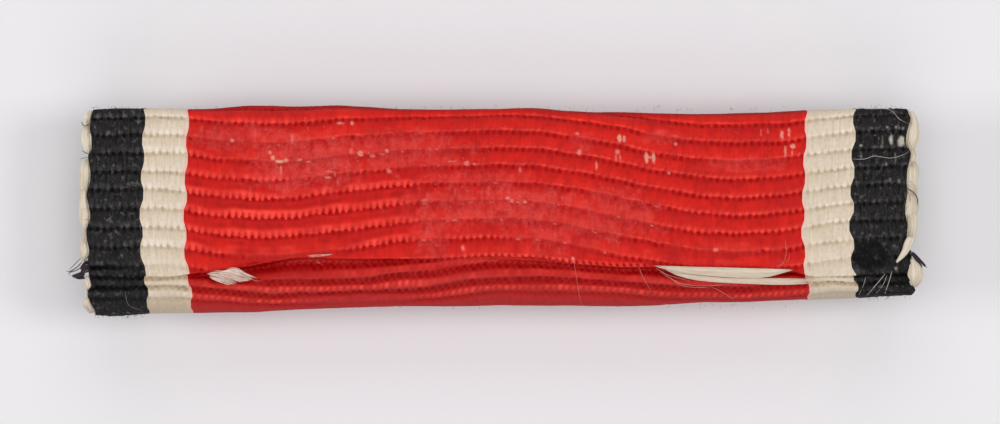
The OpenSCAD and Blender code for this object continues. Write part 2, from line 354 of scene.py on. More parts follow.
DARK_TUFTS = table(
    BUNCH,
    (10, 0.7, 0.12, -0.15, 0.25, 0, 0, 0, ((90, 260), (84, 262.5), (80, 268)),
     ((91, 272), (86, 273), (80, 274))),
    (7, 0.7, 0.12, -0.25, 0.2, 0, 0, 0, ((86, 271), (78, 273), (70, 275.5)),
     ((85, 279), (79, 279.5), (72, 277))),
    (3, 0.7, 0.12, -0.1, 0.1, 0, 0, 0, ((911, 250), (918, 256.5), (928, 267)),
     ((911, 252), (917, 259), (926, 268.5))),
    (3, 0.7, 0.12, -0.12, 0.1, 0, 0, 0, ((911, 251), (918, 259), (924, 269)),
     ((910, 253), (916, 261), (922.5, 269.5))),
)

# Single hairs and threads: their thickness and their height over the cloth in mm, and how pink
# they are
HAIR = "thickness lift pink points"
PALE_HAIRS = table(
    HAIR,
    (0.022, 0.06, 0, ((865, 109), (887, 109), (895, 114), (899, 119), (909, 124))),
    (0.022, 0.05, 0, ((851, 159), (865, 159), (873, 156), (882, 157), (892, 158), (905, 154),
                        (912, 148))),
    (0.018, 0.05, 0, ((866, 276), (863, 287), (858, 299))),
    (0.034, 0.06, 0, ((885, 274), (876, 285), (865, 299))),
    (0.022, 0.08, 0, ((887, 275), (883, 285), (875, 296))),
    (0.03, 0.06, 0, ((892, 271), (888, 285), (884, 299))),
    (0.008, 0.05, 0, ((125, 291), (128, 305), (142, 311))),
    (0.01, 0.04, 1, ((785, 240), (786, 255), (780, 268))),
    (0.013, 0.1, 1, ((638, 265), (643, 277), (652, 292))),
    (0.011, 0.08, 1, ((573, 258), (576, 274), (578, 288), (581, 302), (585, 308))),
    (0.014, 0.12, 1, ((712, 287), (722, 292), (735, 300))),
    (0.01, 0.1, 1, ((790, 253), (788, 260), (775, 268))),
    (0.018, 0.08, 1, ((660, 272), (680, 283), (704, 286), (730, 284))),
    (0.016, 0.08, 1, ((668, 276), (684, 286), (712, 288))),
    (0.018, 0.08, 1, ((656, 268), (668, 275), (690, 281))),
    (0.016, 0.08, 1, ((248, 277), (256, 281), (262, 280))),
)
DARK_HAIRS = table(
    HAIR,
    (0.045, 0, 0, ((82, 262), (77, 267), (71, 271), (66, 271.5))),
    (0.03, 0, 0, ((81, 258), (75, 264), (69, 270))),
    (0.04, -0.05, 0, ((83, 266), (77, 270), (69, 273), (70, 276))),
    (0.035, -0.05, 0, ((90, 124), (84, 126), (81, 121))),
    (0.03, -0.05, 0, ((88, 154), (84, 152), (82, 150))),
    (0.024, -0.05, 0, ((88, 157), (84, 158), (80, 159))),
    (0.045, -0.1, 0, ((907, 188), (914, 193), (917.5, 199), (917, 206))),
    (0.03, 0.02, 0, ((908, 149), (904, 152), (902, 154))),
)

# Stretches of the bar, by pixel column: where the ribs have parted along the lip, where the tips
# above it show as teeth, where the foot's turn tucks the folds so that the last but one shows its
# beads and the last one is covered, and where the first fold has sunk in beside the bared cords
STRETCHES = by_name(table(
    "name comes whole fades gone",
    ("parted", 180, 192, 800, 812),
    ("toothed", 440, 500, 640, 662),
    ("tucked", 240, 262, 405, 430),
    ("covered", 272, 330, 395, 425),
    ("sunk", 222, 240, 325, 350),
))

# The boldest tips, with the strongest painted highlight, lie left of the second of these columns, and
# there are none right of the first
STRONG_FADES = (480, 400)

# Pixel columns between which the cloth is red, and between which it is red or cream, and how far
# from the red its dye has bled, in pixels
RED = (BORDERS[2].x, BORDERS[3].x)
PALE = (BORDERS[1].x, BORDERS[4].x)
BLED_PX = (1.0, 5.0)

# A patch is whole within the first of these shares of its half sizes and gone past the second
PATCH_EDGE = (0.6, 1.2)

# Short loose fibres strewn over parts of the photograph: how many, over which part, how long and
# how thick in mm, how far they stand off the cloth, and how pink they are
FUZZ = "count left right top foot length thickness lift pink"
RED_FUZZ = table(
    FUZZ,
    (60, 196, 800, 106, 112, 0.3, 0.012, 0.05, 0), (70, 196, 800, 299, 309, 0.32, 0.012, 0.05, 0),
)
LINT_FUZZ = table(
    FUZZ,
    (36, 225, 400, 118, 182, 0.26, 0.009, 0.03, 1), (24, 400, 500, 140, 205, 0.24, 0.008, 0.03, 1),
    (30, 425, 650, 185, 245, 0.26, 0.008, 0.03, 1), (12, 660, 800, 125, 175, 0.22, 0.008, 0.03, 1),
    (26, 96, 140, 150, 240, 0.12, 0.008, 0.03, 0), (26, 856, 904, 115, 220, 0.12, 0.008, 0.03, 0),
)
DARK_FUZZ = table(
    FUZZ,
    (34, 93, 140, 107, 112, 0.28, 0.014, 0.03, 0), (40, 93, 145, 312, 318, 0.3, 0.014, 0.03, 0),
    (24, 858, 912, 106, 111, 0.28, 0.014, 0.03, 0), (24, 858, 912, 293, 299, 0.3, 0.014, 0.03, 0),
    (30, 86, 93, 112, 310, 0.26, 0.014, -0.1, 0), (30, 904, 913, 112, 292, 0.26, 0.014, -0.1, 0),
)

# The pieces made of loose strands: the seed of what is drawn for each, what it holds, its finish
# and its slot. Looped ends of the cords go round both edges, out of the photograph too, from the
# black stripe at this column outwards by so many pixels.
LOOPED = table("column out", (92.0, -9.0), (906.5, 9.0))
STRAND_PIECES = table(
    "name seed bunches looped hairs fuzz finish slot",
    ("fray_right", 70, RIGHT_FRAY, [], [], [], "cotton", "cotton_weft"),
    ("fray_left", 63, LEFT_FRAY, [], [], [], "bleached", "cotton_weft"),
    ("loops_left", 70, LEFT_LOOPS, LOOPED[:1], [], [], "cotton", "cotton_weft"),
    ("loops_right", 77, RIGHT_LOOPS, LOOPED[1:], [], [], "cotton", "cotton_weft"),
    ("dark_tufts", 70, DARK_TUFTS, [], DARK_HAIRS, DARK_FUZZ, "dark", "black_weave"),
    ("hairs", 3, [], [], PALE_HAIRS, [], "pale", "cotton_weft"),
    ("red_fuzz", 40, [], [], [], RED_FUZZ, "red", "red_weave"),
    ("lint_fuzz", 45, [], [], [], LINT_FUZZ, "pale", "cotton_weft"),
)


# Places and soft steps

def along(px):
    """A place along the bar in mm, from a pixel column."""
    return (px - MIDDLE_PX[0]) / PX_PER_MM


def across(py):
    """A height across the bar in mm, from a pixel row."""
    return (MIDDLE_PX[1] - py) / PX_PER_MM


def column_px(x):
    """The pixel column of a place along the bar."""
    return MIDDLE_PX[0] + PX_PER_MM * x


def row_px(y):
    """The pixel row of a height across the bar."""
    return MIDDLE_PX[1] - PX_PER_MM * y


def eased(rows, name, x, key="x", soften=7.0):
    """A named column of a table at x, eased between its rows."""
    places = [getattr(row, key) for row in rows]
    values = [getattr(row, name) for row in rows]
    before, here, after = [np.interp(x + d, places, values) for d in (-soften, 0, soften)]
    return (before + 2 * here + after) / 4


def ramp(value, start, end):
    """From 0 at start to 1 at end, with soft ends."""
    f = np.clip((value - start) / (end - start), 0, 1)
    return f * f * (3 - 2 * f)


def fade(value, start, end):
    """From 1 at start to 0 at end, with soft ends."""
    return 1 - ramp(value, start, end)


def bump_at(value, start, end, soft):
    """1 from start to end, with a soft edge on each side."""
    return ramp(value, start - soft, start) * fade(value, end, end + soft)


def within(stretch, px):
    """1 on a stretch of the bar, coming and fading at its ends."""
    return ramp(px, stretch.comes, stretch.whole) * fade(px, stretch.fades, stretch.gone)


def cloud(name, x, y):
    """Soft unevenness over the cloth, as the table says."""
    row = CLOUDS[name]
    lattice = np.random.default_rng(row.seed).uniform(-1, 1, (LATTICE, LATTICE))
    i, j = np.floor(x / row.size).astype(int), np.floor(y / row.size).astype(int)
    fx, fy = ramp(x / row.size - i, 0, 1), ramp(y / row.size - j, 0, 1)

    def corner(right, down):
        return lattice[(j + down) % LATTICE, (i + right) % LATTICE]

    upper = corner(0, 0) * (1 - fx) + corner(1, 0) * fx
    lower = corner(0, 1) * (1 - fx) + corner(1, 1) * fx
    return row.much * (upper * (1 - fy) + lower * fy)


def lot(name, rib, number):
    """A number from -1 to 1 that is drawn for each float."""
    drawn = np.random.default_rng(LOTS[name]).uniform(-1, 1, (LOT_RIBS, LOT_FLOATS))
    return drawn[rib.astype(int) % LOT_RIBS, number.astype(int) % LOT_FLOATS]


def patches(rows, name, px, q, ragged=0.0):
    """The strongest of a table's soft patches at each point."""
    most = np.zeros_like(q)
    for row in rows:
        off = np.hypot((px - row.x) / row.half_x, (q - row.y) / row.half_y)
        most = np.maximum(most, getattr(row, name) * fade(off + ragged, *PATCH_EDGE))
    return most


# The way of the cloth round the bar, in zones with so many steps each

STEPS = {
    "upper_cut": 4, "upper_back": 14, "upper_back_bend": 16, "rise": 14, "top_bend": 24,
    "front": 150, "lower_front": 62, "foot_bend": 16, "lower_back": 14, "lower_cut": 4,
}
ZONE_STARTS = dict(zip(STEPS, np.cumsum([0, *STEPS.values()])))
SHOWN = slice(ZONE_STARTS["front"], ZONE_STARTS["foot_bend"] + 1)


def arc(centre_y, centre_z, reach_y, reach_z, start, end, steps):
    """Points round a bend, after its first one, for every column."""
    angle = np.radians(start + (end - start) * np.arange(1, steps + 1) / steps)
    y = centre_y[:, None] + reach_y[:, None] * np.cos(angle)
    z = centre_z + reach_z * np.sin(angle)
    return y, np.broadcast_to(z, y.shape)


def straight(from_y, from_z, to_y, to_z, steps):
    """Points along a straight run, after its first one, for every column."""
    f = np.arange(1, steps + 1) / steps
    y = from_y[:, None] * (1 - f) + to_y[:, None] * f
    return y, np.broadcast_to(from_z * (1 - f) + to_z * f, y.shape)


def winding(x, depth=0.0):
    """The cloth's way round the bar at each place along it, some depth under its crests: y, z and the
    length of the way, which is zero level with the bar's middle line, all with a row for each place."""
    px = column_px(x)
    full = np.ones_like(x)
    top = across(eased(EDGES, "top", px)) - depth
    foot = across(eased(EDGES, "foot", px)) + depth
    lower_y = np.maximum(across(eased(EDGES, "lip", px)) - LIP_REACH, foot + LEAST_BEND)
    back, front = BACK + depth, FRONT - depth
    top_r, back_r = max(TOP_BEND - depth, LEAST_BEND), max(BACK_BEND - depth, LEAST_BEND)
    upper_cut, lower_cut = full * BACK_GAP / 2, -full * BACK_GAP / 2
    runs = [
        (upper_cut[:, None], np.full((len(x), 1), BACK + WALL)),
        straight(upper_cut, BACK + WALL, upper_cut, back, STEPS["upper_cut"]),
        straight(upper_cut, back, top - back_r, back, STEPS["upper_back"]),
        arc(top - back_r, back + back_r, full * back_r, back_r, -90, 0, STEPS["upper_back_bend"]),
        straight(top, back + back_r, top, front - top_r, STEPS["rise"]),
        arc(top - top_r, front - top_r, full * top_r, top_r, 0, 90, STEPS["top_bend"]),
        straight(top - top_r, front, lower_y, front, STEPS["front"]),
        arc(lower_y, back + back_r, lower_y - foot, front - back - back_r, 90, 180,
            STEPS["lower_front"]),
        arc(foot + back_r, back + back_r, full * back_r, back_r, 180, 270, STEPS["foot_bend"]),
        straight(foot + back_r, back, lower_cut, back, STEPS["lower_back"]),
        straight(lower_cut, back, lower_cut, BACK + WALL, STEPS["lower_cut"]),
    ]
    y, z = [np.concatenate(parts, axis=1) for parts in zip(*runs)]
    step = np.hypot(np.diff(y, axis=1), np.diff(z, axis=1))
    way = np.concatenate([np.zeros((len(x), 1)), np.cumsum(step, axis=1)], axis=1)
    front_start = ZONE_STARTS["front"]
    way += (-y[:, front_start] - way[:, front_start])[:, None]
    return y, z, way


def outward(y, z):
    """The direction out of the cloth at each point of its way."""
    run_y, run_z = np.gradient(y, axis=1), np.gradient(z, axis=1)
    size = np.hypot(run_y, run_z) + 1e-9
    return run_z / size, -run_y / size


# The weave on that way. Ribs are numbered from the top down, and the valleys between them are at
# whole numbers. The way down the cloth is in pixels, like the rows of the photograph.

# Behind the bar the ribs are even, with the fifth valley at this row, and the photograph's spacing
# comes in over this stretch of the way. The folds below the lip start with the ninth valley, and
# past their table the ribs go on evenly.
EVEN_ROW = 181.5
SPACING_COMES = (-10, 105)
FIRST_FOLD = 9
FAR_RIBS = 20


def upper_ribs(px, q):
    """Which rib lies at a pixel column and a way down, above the lip."""
    first, fifth, eighth = [eased(VALLEYS, name, px) for name in ("first", "fifth", "eighth")]
    spacing = np.where(q < fifth, (fifth - first) / 4, (eighth - fifth) / 3)
    rib = 5 + (q - fifth) / spacing
    even = 5 + (q - EVEN_ROW) / RIB_PX
    return even + (rib - even) * ramp(q, *SPACING_COMES)


def lower_ribs(px, q, row):
    """The same below the lip, from the rows in the photograph of the valleys and crests there."""
    names = FOLDS[0]._fields[1:]
    rows = np.stack([eased(FOLDS, name, px[:, 0], soften=4.0) for name in names], axis=1)
    numbers = [FIRST_FOLD + i / 2 for i in range(len(names))]
    numbers = [numbers[0] - FAR_RIBS, *numbers, numbers[-1] + FAR_RIBS]
    rib = np.zeros_like(q)
    for column in range(len(q)):
        marks = np.interp(rows[column], row[column, SHOWN], q[column, SHOWN])
        marks = [marks[0] - FAR_RIBS * RIB_PX, *marks, marks[-1] + FAR_RIBS * RIB_PX]
        rib[column] = np.interp(q[column], marks, numbers)
    return rib


def floats(u, t, teeth):
    """For each point, across the cloth at u and at rib number t: its rib, the float on it, how far
    down the float it is from 0 to 1, how far below the rib's own line, and how far beside the float's
    middle from 0 to 1. The tips of one rib's floats reach down between the heads of the next rib's."""
    def edge(rib):
        place = u / FLOAT_WIDTH - (rib - 1) / 2
        number = np.floor(place + 0.5)
        reach = teeth * (1 + TOOTH_UNEVEN * lot("reach", rib - 1, number))
        off = np.abs(2 * (place - number) + TOOTH_LEAN * lot("lean", rib - 1, number))
        return rib + reach * (1 - 2 * np.minimum(off, 1) ** TOOTH_POWER)

    rib = np.floor(t)
    rib = np.where(t < edge(rib), rib - 1, rib)
    rib = np.where(t >= edge(rib + 1), rib + 1, rib)
    down = (t - edge(rib)) / (edge(rib + 1) - edge(rib))
    place = u / FLOAT_WIDTH - rib / 2
    number = np.floor(place + 0.5)
    return rib, number, down, t - rib, np.abs(2 * (place - number))


class Points(SimpleNamespace):
    """What is known at each point of a stripe of the cloth's outer face."""

    def cloud(self, name):
        return cloud(name, self.px, self.q)

    def lot(self, name):
        return lot(name, self.rib, self.number)


# How a border swings from rib to rib, and how softly the cloth's ends follow their table
SWING_REACH = 1.4
SWING_FROM = 1.3
SIDE_SOFTEN = 2.0

# The outward direction's part towards the viewer, where the cloth comes to face the viewer, where
# it has turned to the side, and where the foot turns to the back
FACING = (0.15, 0.75)
TURNED = (0.02, 0.2)
FOOT_TURNS = (-0.35, 0.1)


def border_line(border, row, shift, t):
    """Where a border lies along the bar, at the rows and ribs of the points beside it."""
    if border.end:
        return along(eased(SIDES, border.end, row, key="row", soften=SIDE_SOFTEN)) - shift
    swing = np.clip(SWING_REACH * np.cos(np.pi * (t - SWING_FROM)), -1, 1)
    swing = swing * (0.9 + 0.3 * lot("swing", np.floor(t + 0.2), np.zeros_like(t)))
    return along(border.x) + border.swing / PX_PER_MM * swing


def laid_out(start, end):
    """The cloth between two borders before its ribs are raised: its place on the bar and in the
    photograph, and its ribs' numbers."""
    from_x, to_x = along(start.x), along(end.x)
    steps = round((to_x - from_x) / FLOAT_WIDTH * COLUMNS_PER_FLOAT)
    share = np.arange(steps + 1)[:, None] / steps
    even_u = from_x + (to_x - from_x) * share
    y, z, way = winding(even_u[:, 0])
    q = MIDDLE_PX[1] + PX_PER_MM * way
    even_px = column_px(even_u) + np.zeros_like(way)
    lip = eased(EDGES, "lip", even_px)
    t = np.where(q > lip, lower_ribs(even_px, q, row_px(y)), upper_ribs(even_px, q))
    t = t + cloud("rib_sway", even_px, q) + cloud("rib_jitter", even_px, q)
    shift = eased(LEANS, "shift", q, key="y") / PX_PER_MM
    one, other = [border_line(border, row_px(y), shift, t) for border in (start, end)]
    u = one * (1 - share) + other * share
    out_y, out_z = outward(y, z)
    turned = ramp(out_z, *FOOT_TURNS)
    return Points(
        u=u, x=u + shift, y=y, z=z, way=way, t=t, px=column_px(u), q=q, out_y=out_y, out_z=out_z,
        seen_px=column_px(u + shift), seen_row=row_px(y), from_lip=q - lip,
        from_red=np.minimum(np.abs(even_px - RED[0]), np.abs(even_px - RED[1])),
        facing=np.maximum(ramp(out_z, *FACING), fade(out_z, *TURNED)),
        above=(q <= lip) * 1.0, below=(q > lip) * turned, behind=(q > lip) * (1 - turned))


def rub(at, yarn):
    """How flat and dusty the ribs are rubbed, and how brightly their tips are painted as a highlight.
    """
    ragged = at.cloud("rubbed_edge") + at.cloud("rubbed_speck")
    at.flat = patches(RUBBED, "flat", at.px, at.q, ragged)
    ragged = at.cloud("dusty_edge") + at.cloud("dusty_speck")
    at.dusty = patches(RUBBED, "dusty", at.px, at.q, ragged)
    lively = patches(LIVELY, "much", at.px, at.q, at.cloud("lively_edge")) * (1 - 0.85 * at.flat)
    at.lively = np.maximum(lively * (0.75 + at.cloud("lively_drift")), yarn.lively)
    at.strong = at.lively * ramp(at.px, *STRONG_FADES)


# How far the floats below the lip move aside from one rib to the next, in floats
FOLD_SLANT = 0.8


def weave(at, yarn):
    """The floats of the stripe. Below the lip they slant from rib to rib."""
    at.teeth = TEETH * yarn.teeth * (0.5 + 0.5 * at.lively + 0.3 * at.strong) * (1 - 0.35 * at.flat)
    slant = np.where(at.from_lip > 0, FOLD_SLANT * FLOAT_WIDTH * (at.t - FIRST_FOLD), 0)
    u = at.u + slant + at.cloud("float_sway")
    at.rib, at.number, at.down, at.past, at.side = floats(u, at.t, at.teeth)
    at.tone = at.lot("tone")


# Heights on a rib, as shares of it down from its own line, and widths as shares of half a float out
# from its middle. A bump has its start, its end and how soft it is.
POCKET_ENDS = (0.15, 0.31)
POCKET_SIDES = (0.25, 0.8)
POCKET_SOONER = 0.07
HAZE_ENDS = (0.2, 0.42)
UNDER_SIDES = (0.65, 0.95)
UNDER_PAST = 0.1
UNDER_SOFT = 0.08
GAP_SIDES = (0.72, 1.0)
GAP = (0.84, 0.95, 0.06)
BAND_TOP = 0.74
BAND_FULL = 0.92
STRONG_TOP = 0.22
STRONG_FULL = 0.14
FINGER_SIDES = (0.35, 0.95)
FINGER_PARTS = (0.55, 0.85)
RIDGE = (0.88, 0.95, 0.05)
SHEEN = (0.2, 0.7)
EAVE_ABOVE = 0.16
EAVE_UNTIL = 0.05
EAVE_SOFT = 0.1


def above_lip(at, yarn):
    """The ribs above the lip and behind: their slopes from the crest, the painted shade in the dark
    pockets between the heads of the floats and under the tips, the painted highlight on the tips, and
    the painted shade over those."""
    lively, strong, past, side = at.lively, at.strong, at.past, at.side
    towards_head = np.clip((CREST_AT - at.down) / CREST_AT, 0, 1) ** HEAD_POWER
    towards_tip = np.clip((at.down - CREST_AT) / (1 - CREST_AT), 0, 1) ** TIP_POWER
    at.slope = towards_head + towards_tip

    # Painted shade in the pockets between the heads and under the tips
    dot = yarn.dot * (0.85 + 0.15 * lively)
    between = ramp(side, *[edge * dot for edge in POCKET_SIDES])
    pocket = fade(past, *[edge - POCKET_SOONER * lively for edge in POCKET_ENDS])
    pocket = pocket * (1 - 0.75 * between) * (0.85 + 0.12 * strong + 0.37 * at.tone)
    pocket = pocket + 0.12 * (1 - lively) * fade(past, *HAZE_ENDS)
    under = bump_at(past, at.teeth / 2, at.teeth + UNDER_PAST, UNDER_SOFT)
    under = under * yarn.under * ramp(side, *UNDER_SIDES) * (0.8 + 0.4 * at.tone)
    at.pocket = np.maximum(pocket, under)
    at.gap = ramp(side, *GAP_SIDES) * bump_at(past, *GAP) * lively

    # Painted highlight on the tips, a painted sheen towards them, and painted shade just above them
    band_top = BAND_TOP - STRONG_TOP * strong
    fingers = ramp(past, band_top, BAND_FULL - STRONG_FULL * strong)
    fingers = fingers * (1 - 0.75 * ramp(side, *FINGER_SIDES) * ramp(past, *FINGER_PARTS))
    fingers = fingers * lively * (1.15 + 0.2 * strong) * (0.93 + 0.27 * at.lot("tip"))
    ridge = 0.5 * bump_at(past, *RIDGE) * (1 - lively) * (0.7 + 0.4 * at.tone)
    at.tips = fingers + ridge
    at.sheen = ramp(past, *SHEEN)
    eave = bump_at(past, band_top - EAVE_ABOVE, band_top - EAVE_UNTIL, EAVE_SOFT)
    at.eave = eave * lively * (0.7 + at.cloud("eave_drift"))


# Heights on a fold, down from a valley and out from the nearest valley, and rib numbers between
# which something comes
BEAD_COMES = (0.22, 0.38)
BEAD_FADES = (0.42, 0.85)
BEAD_SIDES = (0.15, 0.9)
CREST = (0.12, 0.45)
GROOVE = (0.1, 0.36)
GROOVE_SIDES = (0.15, 0.75)
LAST_FOLD = (10.8, 11.2)
TUCKED_FOLD = (9.9, 10.1)
COVERED_FOLD = (11.0, 11.2)
SUNK_FOLD = (9.8, 10.0)
FOOT_GROOVE = (11.5, 11.7)
PAST_FOLDS = (11.9, 12.3)


def below_lip(at):
    """The soft folds below the lip, with the floats' joints showing on their crests as beads, the
    crests and beads painted bright as a highlight and the grooves between them sunk and painted dark as
    shade.
    """
    drop = at.t - np.floor(at.t)
    fold = np.minimum(drop, 1 - drop)
    tucked, covered, sunk = [within(STRETCHES[name], at.px) for name in ("tucked", "covered", "sunk")]
    last = np.maximum(ramp(at.t, *LAST_FOLD), tucked * ramp(at.t, *TUCKED_FOLD))
    hidden = covered * ramp(at.t, *COVERED_FOLD)
    sunk = sunk * fade(at.t, *SUNK_FOLD)
    far = ramp(at.t, *PAST_FOLDS)
    # Painted highlight on the crests and their beads
    bead = ramp(drop, *BEAD_COMES) * fade(drop, *BEAD_FADES) * fade(at.side, *BEAD_SIDES)
    beaded = 0.45 + 0.5 * last
    crest = ramp(fold, *CREST) * (1 - beaded) + (0.15 + 0.9 * bead) * beaded
    crest = crest * (0.5 + 0.5 * last) * (1 - 0.95 * far) * (1 - 0.8 * hidden) * (1 - 0.75 * sunk)
    at.crest = crest * (0.75 + 0.3 * at.tone)
    at.dull = np.maximum(far, hidden)
    # Painted shade in the grooves, which are also sunk
    groove = fade(fold, *GROOVE) * (1 - 0.5 * ramp(at.side, *GROOVE_SIDES))
    at.groove = groove * (1.3 + 0.3 * at.tone) * (1 - 0.4 * ramp(at.t, *FOOT_GROOVE))


# Distances down from the lip in pixels: the painted shade line along it, and the painted bright tips
# and the painted shade in the gaps between them where it is toothed. Their sides are shares of half a
# float.
LIP_LINE = 1.0
LIP_LINE_EDGE = (0.6, 1.8)
LIP_TIPS = (-4.5, -0.3, 1.0)
LIP_GAPS = (-2.8, 0.2, 1.2)
LIP_TIP_SIDES = (0.25, 0.8)
LIP_GAP_SIDES = (0.45, 0.85)

# The outward direction's part towards the viewer between which a shade or a colour comes in
SHADE_FACES = (0.0, 0.3)
TIPS_FACE = (0.5, 0.9)
RIM_FACES = (0.1, 0.8)
STEEP_FACES = (0.5, 0.95)
BARE_FACES = 0.3

# Where a painted highlight lies along a rubbed rib, as shares of it: from, to, and how soft that is
RUBBED_SHINE = (0.6, 0.85, 0.2)


def gloom_and_light(at):
    """How dark each point is painted as shade and how bright as a highlight, with the lip's line, tips
    and gaps.
    """
    above, flat, side, tone = at.above, at.flat, at.side, at.tone
    parted, toothed = [within(STRETCHES[name], at.px) for name in ("parted", "toothed")]
    lip_line = fade(np.abs(at.from_lip - LIP_LINE), *LIP_LINE_EDGE)
    lip_line = lip_line * (0.05 + 0.25 * parted) * (1 - 0.7 * toothed)
    lip_tips = bump_at(at.from_lip, *LIP_TIPS) * toothed * fade(side, *LIP_TIP_SIDES)
    lip_gaps = bump_at(at.from_lip, *LIP_GAPS) * toothed * ramp(side, *LIP_GAP_SIDES)

    # Painted shade in pockets, gaps, grooves, along the lip and in the shade patches
    gloom = np.clip(at.pocket * (1 - 0.75 * flat) + 0.4 * at.gap, 0, 1)
    gloom = above * gloom * (0.25 + 0.75 * at.facing)
    gloom = np.maximum(gloom, 1.3 * above * lip_gaps) + at.behind * at.pocket * 0.8
    gloom = gloom + at.below * np.maximum(at.groove * (1 - 0.8 * at.dull), lip_line)
    shade = patches(GLOOMS, "much", at.seen_px, at.seen_row, at.cloud("shade_edge"))
    gloom = np.maximum(gloom, shade * ramp(at.out_z, *SHADE_FACES))

    # Painted highlight on tips, lip tips, crests and rubbed ribs
    lit = above * at.tips * (1 - 0.7 * flat) * (0.9 + 0.2 * tone) * ramp(at.out_z, *TIPS_FACE)
    lit = lit * (0.85 + at.cloud("tip_drift")) + 0.45 * above * lip_tips * (0.9 + 0.4 * tone)
    lit = lit + at.below * at.crest * (0.8 + at.cloud("bead_drift"))
    shine = bump_at(at.past, *RUBBED_SHINE) * (0.6 + at.cloud("rubbed_shine"))
    return np.clip(gloom, 0, 1.4), np.clip(lit + above * 0.35 * flat * shine, 0, 1)


# Flecks of lint along the worn valleys, with measures in pixels, faint streaks on worn floats, and
# seams between ribs that are rubbed flat. A float needs at least such a lot and such dust to have
# one.
FLECK_BELOW = 0.6
FLECK_STRAY = 1.5
FLECK_HIGH = 0.8
FLECK_BESIDE = 0.6
FLECK_WIDE = 1.3
FLECK_WIDER = 0.7
FLECK_EDGE = (0.5, 1.5)
FLECK_LEAST = 0.6
FLECK_DUST = 0.25
STREAK_LEAST = 0.4
STREAK_DUST = 0.3
STREAK_EDGE = (0.3, 1.6)
STREAK = (0.4, 0.6, 0.25)
SEAM = (-0.01, 0.05, 0.05)
SEAM_FLAT = (0.3, 0.8)


def lint(at):
    """The flecks and streaks of lint, and the fine seams left between ribs that are rubbed flat."""
    beside = at.side * FLOAT_HALF_PX
    down = (at.past * RIB_PX - FLECK_BELOW - FLECK_STRAY * at.lot("fleck_down")) / FLECK_HIGH
    out = (beside - FLECK_BESIDE) / (FLECK_WIDE + FLECK_WIDER * at.lot("fleck_wide"))
    fleck = (at.lot("fleck") > FLECK_LEAST) & (at.dusty > FLECK_DUST)
    fleck = fleck * fade(np.hypot(down, out), *FLECK_EDGE) * at.above
    fleck = fleck * (0.55 + 0.45 * at.lot("fleck_pale"))
    streak = (at.lot("streak") > STREAK_LEAST) & (at.dusty > STREAK_DUST)
    streak = streak * fade(beside, *STREAK_EDGE) * bump_at(at.down, *STREAK) * at.above
    seam = bump_at(at.past, *SEAM) * ramp(at.flat, *SEAM_FLAT) * at.above * at.facing
    return np.clip(0.8 * fleck + 0.1 * streak, 0, 1), seam


# The groove under the lip, in shares of its width, and how far from the cut ends the ribs fade, in mm
LIP_FALLS = (-0.1, 0.25)
LIP_RISES = (0.45, 1.5)
CUT_FADE = 0.4


def relief(at, yarn):
    """How far each point of the cloth stands off its plain way, in mm."""
    less = 1 - 0.8 * at.flat
    rise = -at.slope * RIB_DEPTH * yarn.depth * less * (0.8 + 0.35 * at.lively)
    rounding = TIP_ROUNDING * yarn.teeth * at.side ** 2 * ramp(at.down, 0.5, 1.0)
    rise = rise - rounding * (1 - 0.6 * at.flat) - POCKET_DEPTH * yarn.teeth * at.pocket * less
    rise = rise * (at.above + at.behind)
    rise = (rise - at.below * RIB_DEPTH * (0.8 - 0.5 * at.dull) * at.groove) * (0.2 + 0.8 * at.facing)
    rise = rise + at.cloud("swell") + at.cloud("ripple")
    rise = rise + yarn.fuzz * (at.cloud("fuzz") + at.cloud("nap"))
    under = at.from_lip / eased(EDGES, "width", at.px)
    groove = ramp(under, *LIP_FALLS) * fade(under, *LIP_RISES)
    rise = rise - eased(EDGES, "depth", at.px) * groove
    first, last = at.way[:, :1], at.way[:, -1:]
    rise = rise * ramp(at.way, first, first + CUT_FADE)
    return rise * fade(at.way, last - CUT_FADE, last)


def woven(start, end, yarn):
    """The cloth's outer face between two borders, with its ribs, floats, lip and wear. Its fields
    are what the finishes show."""
    at = laid_out(start, end)
    rub(at, yarn)
    weave(at, yarn)
    above_lip(at, yarn)
    below_lip(at)
    gloom, lit = gloom_and_light(at)
    fleck, seam = lint(at)
    rise = relief(at, yarn)
    at.y, at.z = at.y + at.out_y * rise, at.z + at.out_z * rise
    bare = patches(BARE, "much", at.seen_px, at.seen_row, at.cloud("bare_edge"))
    at.fields = {
        # gloom is painted shade and lit painted highlight; sheen is a painted sheen towards the tips,
        # eave painted shade over them, and the rim field painted shade on the top bend
        "gloom": gloom,
        "lit": lit,
        "sheen": at.sheen * (1 - at.flat) * at.above,
        "eave": at.eave * (1 - at.flat) * at.above,
        "rim_shade": fade(at.out_z, *RIM_FACES) * at.above,
        "dusty": at.dusty * at.above,
        "seam": seam,
        "fleck": fleck,
        "bare": bare * (at.out_z > BARE_FACES),
        "steep": fade(at.out_z, *STEEP_FACES),
        "yellow": patches(BARE, "yellow", at.seen_px, at.seen_row),
        "below": at.below,
        "dull": at.dull * at.below,
        "bled": fade(at.from_red, *BLED_PX),
        "tone": at.tone,
    }
    return at


# Making pieces

def in_scene(name, data):
    """A new object of the scene."""
    made = bpy.data.objects.new(name, data)
    bpy.context.scene.collection.objects.link(made)
    return made


